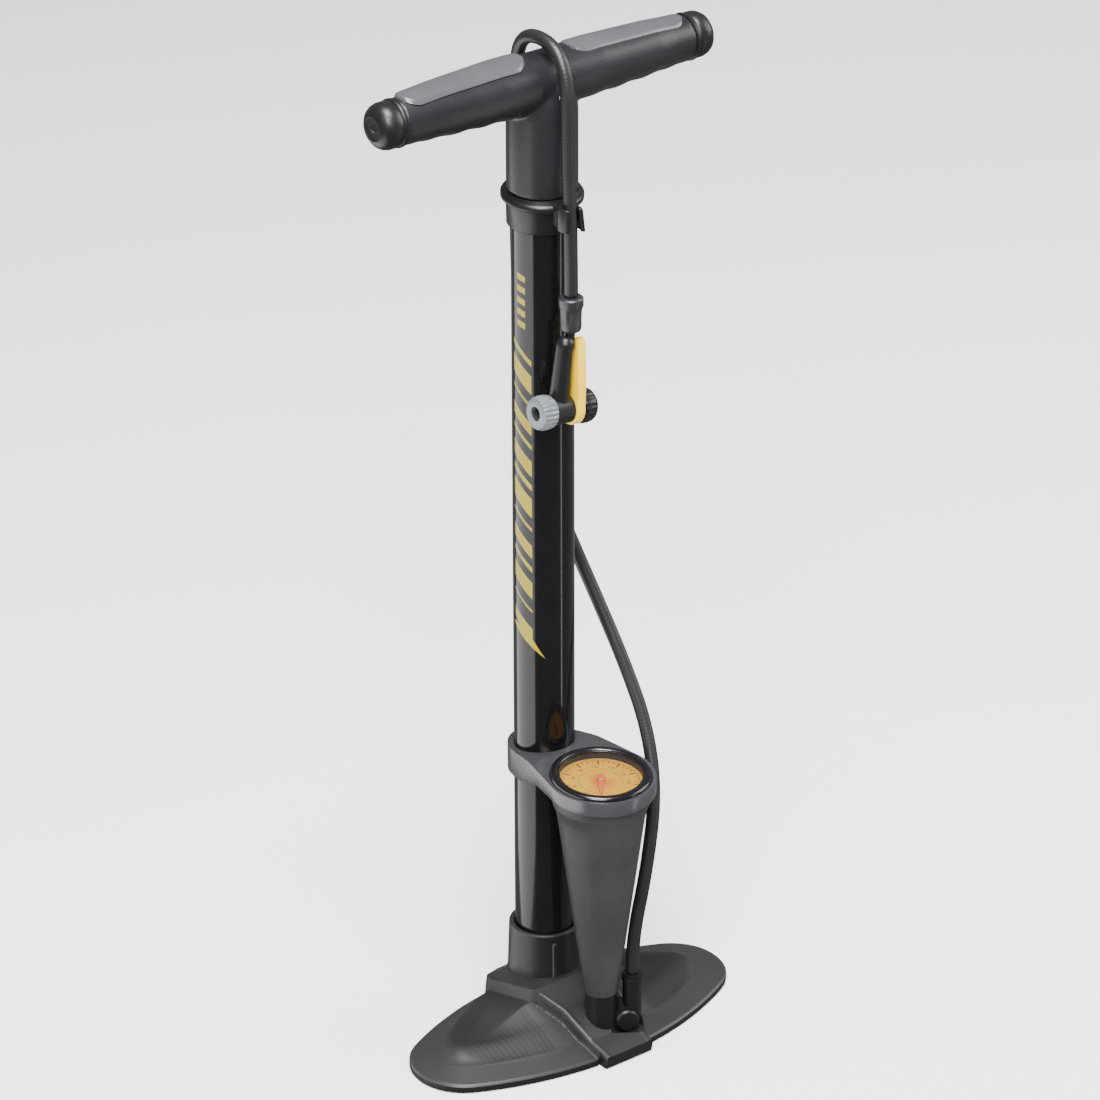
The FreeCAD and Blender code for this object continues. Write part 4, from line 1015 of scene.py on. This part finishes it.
# %% Bracket
GAUGE_Y, GAUGE_FACE = -54.0, 184.5
SHARP = 0.00001
RING, CUP = 21.8, 32.3
LEAN = math.asin((CUP - RING) / -GAUGE_Y)
bracket_outline = arc(RING, 0, LEAN, math.pi - LEAN, 40)
bracket_outline += arc(CUP, GAUGE_Y, math.pi - LEAN, 2 * math.pi + LEAN, 72)
bracket = upright("gauge_bracket_skin", bracket_outline, 150, 190, rounding=SHARP)
GAUGE_SLOPE = math.tan(GAUGE_TILT)
print(f"bracket outline: {len(bracket_outline)} points")

# %% [markdown]
# The block is cut into thin slices along Y, so that its top and its lower edge can follow the
# gauge's slope and sweep. Then the two holes are cut and the edges are rounded.

# %% Bracket slopes and holes
def bracket_top(y):
    """Height of the casting's top: level round the barrel, and along the gauge's tilt in front."""
    gauge_rim = GAUGE_FACE - 2.2 + (y - GAUGE_Y) * GAUGE_SLOPE
    return gauge_rim + (181.5 - gauge_rim) * ease(y, -22, 4)


def bracket_low(y):
    """Height of its lower edge, which sweeps down from the clamp to the cup."""
    cup_low = GAUGE_FACE - 10.9 + (y - GAUGE_Y) * GAUGE_SLOPE
    return cup_low + (165.0 - cup_low) * ease(y, -30, 0) - 1.6 * math.sin(math.pi * ease(y, -50, 4))


bpy.ops.object.mode_set(mode="EDIT")
for level_y in range(-84, 20, 3):
    bpy.ops.mesh.select_all(action="SELECT")
    bpy.ops.mesh.bisect(plane_co=(0, level_y * MM, 0.17), plane_no=(0, 1, 0))
bpy.ops.object.mode_set(mode="OBJECT")
for vertex in bracket.data.vertices:
    y = vertex.co.y / MM
    vertex.co.z = (bracket_top(y) if vertex.co.z > 0.17 else bracket_low(y)) * MM


def bore_out(thing, radius, place, tilt=0.0):
    """Cuts a round hole with a Boolean modifier."""
    clear_selection()
    bpy.ops.mesh.primitive_cylinder_add(vertices=128, radius=radius * MM, depth=0.2)
    drill = bpy.context.object
    settle(drill, move_by(*place) @ Matrix.Rotation(tilt, 4, "X"))
    apply_modifier(thing, "BOOLEAN", operation="DIFFERENCE", object=drill, solver="EXACT")
    bpy.data.objects.remove(drill)


bore_out(bracket, 18.05, (0, 0, 170))
bore_out(bracket, 30.3, (0, GAUGE_Y, GAUGE_FACE), GAUGE_TILT)
settle(bracket)
round_edges(bracket, 0.0011, 50)
smooth(bracket, 40)
put(bracket, "root", "bracket_metal", "gauge_bracket")

# %% [markdown]
# ## The tower under the gauge
# The tower is a tapered shell. Its top has a small bead where it meets the bracket, and it has
# eight very shallow flats, which break its sheen into upright bands.

# %% Tower
TOWER_RINGS = [(10.3, 36.4), (10.4, 37.2)]
TOWER_RINGS += [(10.3 + 16.6 * (z - 37) / 126, z) for z in range(42, 160, 6)]
TOWER_RINGS += [(27.0, 161.5), (28.2, 164.2), (28.9, 167.0), (28.9, 175.6), (28.5, 175.6)]
TOWER_RINGS += [(28.5, 167.4), (25.4, 160.5), (24.2, 150.0), (8.6, 38.0), (8.5, 36.4)]
tower = turned_piece("tower_shell", TOWER_RINGS, 160, closed=True)
for vertex in tower.data.vertices:
    turned = math.atan2(vertex.co.y, vertex.co.x)
    shell = ease(vertex.co.z / MM, 40, 60) * ease(160 - vertex.co.z / MM, 0, 12)
    pull = 1 - 0.011 * shell * (0.5 - 0.5 * math.cos(8 * turned + 0.6))
    vertex.co.x *= pull
    vertex.co.y *= pull
settle(tower, move_by(0, GAUGE_Y, 0))
smooth(tower, 35)
put(tower, "root", "tower_plastic", "gauge_tower")

# %% [markdown]
# ## The gauge's face
# The bezel is a gloss ring with a round crown and a thin inner step. It is turned level and
# then tilted with the rest of the gauge.

# %% Bezel
ON_GAUGE = move_by(0, GAUGE_Y, GAUGE_FACE) @ Matrix.Rotation(GAUGE_TILT, 4, "X")
BEZEL_RINGS = [
    (24.3, -1.7), (24.4, -1.0), (24.9, -0.7), (25.3, -0.75), (25.7, -0.35), (26.8, -0.02),
    (28.2, -0.05), (29.3, -0.6), (29.9, -1.6), (30.1, -3.0), (30.1, -6.0), (25.9, -6.0),
    (25.9, -1.7),
]
bezel = turned_piece("bezel_ring", BEZEL_RINGS, 160, closed=True)
settle(bezel, ON_GAUGE)
smooth(bezel, 40)
put(bezel, "root", "bezel", "gauge_bezel")

# %% [markdown]
# The dial's numbers are text objects. Each is made a flat mesh before it is put in its place,
# and the nine are then joined.

# %% Dial numbers
numbers = []
for step in range(9):
    clear_selection()
    bpy.ops.object.text_add()
    number = bpy.context.object
    number.data.body = str(20 * step)
    number.data.size = 0.0031
    number.data.align_x = "CENTER"
    number.data.align_y = "CENTER"
    number.data.extrude = 0.00002
    bpy.ops.object.convert(target="MESH")
    number = bpy.context.object
    round_dial = DIAL_START - math.radians(270) * step / 8
    place = (16.2 * math.cos(round_dial), 16.2 * math.sin(round_dial), -6.56)
    settle(number, ON_GAUGE @ move_by(*place) @ Matrix.Rotation(round_dial - math.pi / 2, 4, "Z"))
    numbers.append(number)
pick(*numbers)
bpy.ops.object.join()
numbers[0].name = "dial_numbers"
wear(numbers[0], "dial_ink")
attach(numbers[0], "root")
print("numbers on the dial:", len(numbers))

# %% [markdown]
# ## The needle
# The needle is a thin blade with a raised lozenge at its hub and a domed cap. It rides on the
# needle's own body, so it turns with the gauge.

# %% Needle
NEEDLE_OUTLINE = [(-6.5, -1.2), (-2.5, -2.3), (2.5, -1.9), (19.5, -0.4)]
NEEDLE_OUTLINE += [(19.5, 0.4), (2.5, 1.9), (-2.5, 2.3), (-6.5, 1.2)]
HUB_RINGS = [(2.4, -5.6), (2.4, -4.6), (2.1, -4.1), (1.4, -3.75), (0.3, -3.6)]
needle = upright("needle_blade", NEEDLE_OUTLINE, -5.6, -4.9, rounding=0.0002)
hub = turned_piece("needle_hub", HUB_RINGS, 48)
pick(needle, hub)
bpy.ops.object.join()
settle(needle, ON_GAUGE @ Matrix.Rotation(DIAL_START, 4, "Z"))
smooth(needle, 40)
put(needle, "needle", "needle_orange", "gauge_needle")

# %% [markdown]
# ## The hose head
# The head hangs tilted by seven degrees. Its caps are turned and knurled, so that a hand can
# unscrew them; the lever is a tapered blade on a round hub, with chamfers that catch the light.

# %% Head caps
ON_HEAD = move_by(-10.5, -32.0, 413.5) @ turn_about("Y", 7)


def port_cap(name, rings, side, ridges, depth):
    """A port's cap with ridges round its skirt."""
    cap = turned_piece(name, rings, 192, closed=True)
    widest = max(radius for radius, level in rings) * MM
    for vertex in cap.data.vertices:
        out = vertex.co.xy.length
        if out > widest - 0.0006:
            around_cap = math.atan2(vertex.co.y, vertex.co.x)
            wave = 0.5 + 0.5 * math.cos(ridges * around_cap)
            pull = 1 - depth * MM * wave / out
            vertex.co.x *= pull
            vertex.co.y *= pull
    settle(cap, ON_HEAD @ turn_about("Y", 90 * side))
    smooth(cap, 30)
    return cap


SILVER_RINGS = [
    (6.7, 9.8), (8.8, 9.8), (9.5, 10.3), (9.7, 11.2), (9.7, 11.8), (10.0, 12.3), (10.0, 17.0),
    (9.7, 17.5), (9.6, 18.4), (8.8, 19.5), (7.6, 20.0), (4.3, 20.0), (4.3, 18.8), (6.7, 18.8),
]
BLACK_RINGS = [
    (7.6, 9.8), (9.4, 9.8), (10.1, 10.4), (10.3, 11.4), (10.3, 15.6), (10.0, 16.6), (9.2, 18.0),
    (7.9, 19.2), (6.4, 19.8), (5.2, 20.0), (5.2, 18.8), (7.6, 18.8),
]
presta = port_cap("presta_knob", SILVER_RINGS, -1, 22, 0.70)
put(presta, "root", "silver_cap", "presta_cap")
schrader = port_cap("schrader_knob", BLACK_RINGS, 1, 20, 0.35)
put(schrader, "root", "black_plastic", "schrader_cap")

# %% [markdown]
# The lever's side is drawn as an outline, a round hub with a long tapered blade, and extruded to
# its thickness. A wide bevel gives it the soft edges of a moulded part.

# %% Lever
LEVER_HUB = 9.9
hub_turns = [math.radians(degrees) for degrees in range(-200, 21, 10)]
LEVER_SIDE = [(LEVER_HUB * math.cos(t), LEVER_HUB * math.sin(t)) for t in hub_turns]
LEVER_SIDE += [(6.4, 15.0), (4.4, 26.0), (3.2, 36.0), (1.9, 41.6), (-0.4, 43.0)]
LEVER_SIDE += [(-2.8, 42.0), (-4.6, 36.0), (-6.6, 24.0), (-8.6, 12.0)]
lever = upright("lever_blade", LEVER_SIDE, 3.3, 9.1, rounding=0.0012)
bore_out(lever, 5.6, (0, 0, 6))
upright_turn = Matrix(((0, 0, 1, 0), (1, 0, 0, 0), (0, 1, 0, 0), (0, 0, 0, 1)))
settle(lever, ON_HEAD @ upright_turn)
smooth(lever, 25)
put(lever, "lever", "yellow_plastic", "lever")

# %% [markdown]
# ## The ferrule
# A metal sleeve is crimped round the hose's end: two raised rings hold it, and between them the
# press has left eight shallow flats.

# %% Ferrule
FERRULE_RINGS = [
    (3.9, 460.0), (4.8, 460.0), (5.5, 460.6), (5.9, 462.0), (6.0, 465.4), (6.1, 466.2),
    (6.2, 469.5), (6.4, 472.6), (6.6, 474.4), (7.1, 475.4), (7.1, 480.0), (6.3, 480.8),
    (3.9, 481.0),
]
ferrule = turned_piece("crimped_sleeve", FERRULE_RINGS, 96, closed=True)
for vertex in ferrule.data.vertices:
    around_sleeve = math.atan2(vertex.co.y, vertex.co.x)
    pressed = ease(vertex.co.z / MM, 465.6, 466.6) * ease(474.2 - vertex.co.z / MM, 0, 1)
    out = vertex.co.xy.length
    flat = 0.5 + 0.5 * math.cos(8 * around_sleeve)
    pull = 1 - 0.55 * MM * pressed * flat / out * (out > 0.0042)
    vertex.co.x *= pull
    vertex.co.y *= pull
settle(ferrule, move_by(-3.8, -31.0, 0))
smooth(ferrule, 40)
put(ferrule, "root", "ferrule", "head_ferrule")
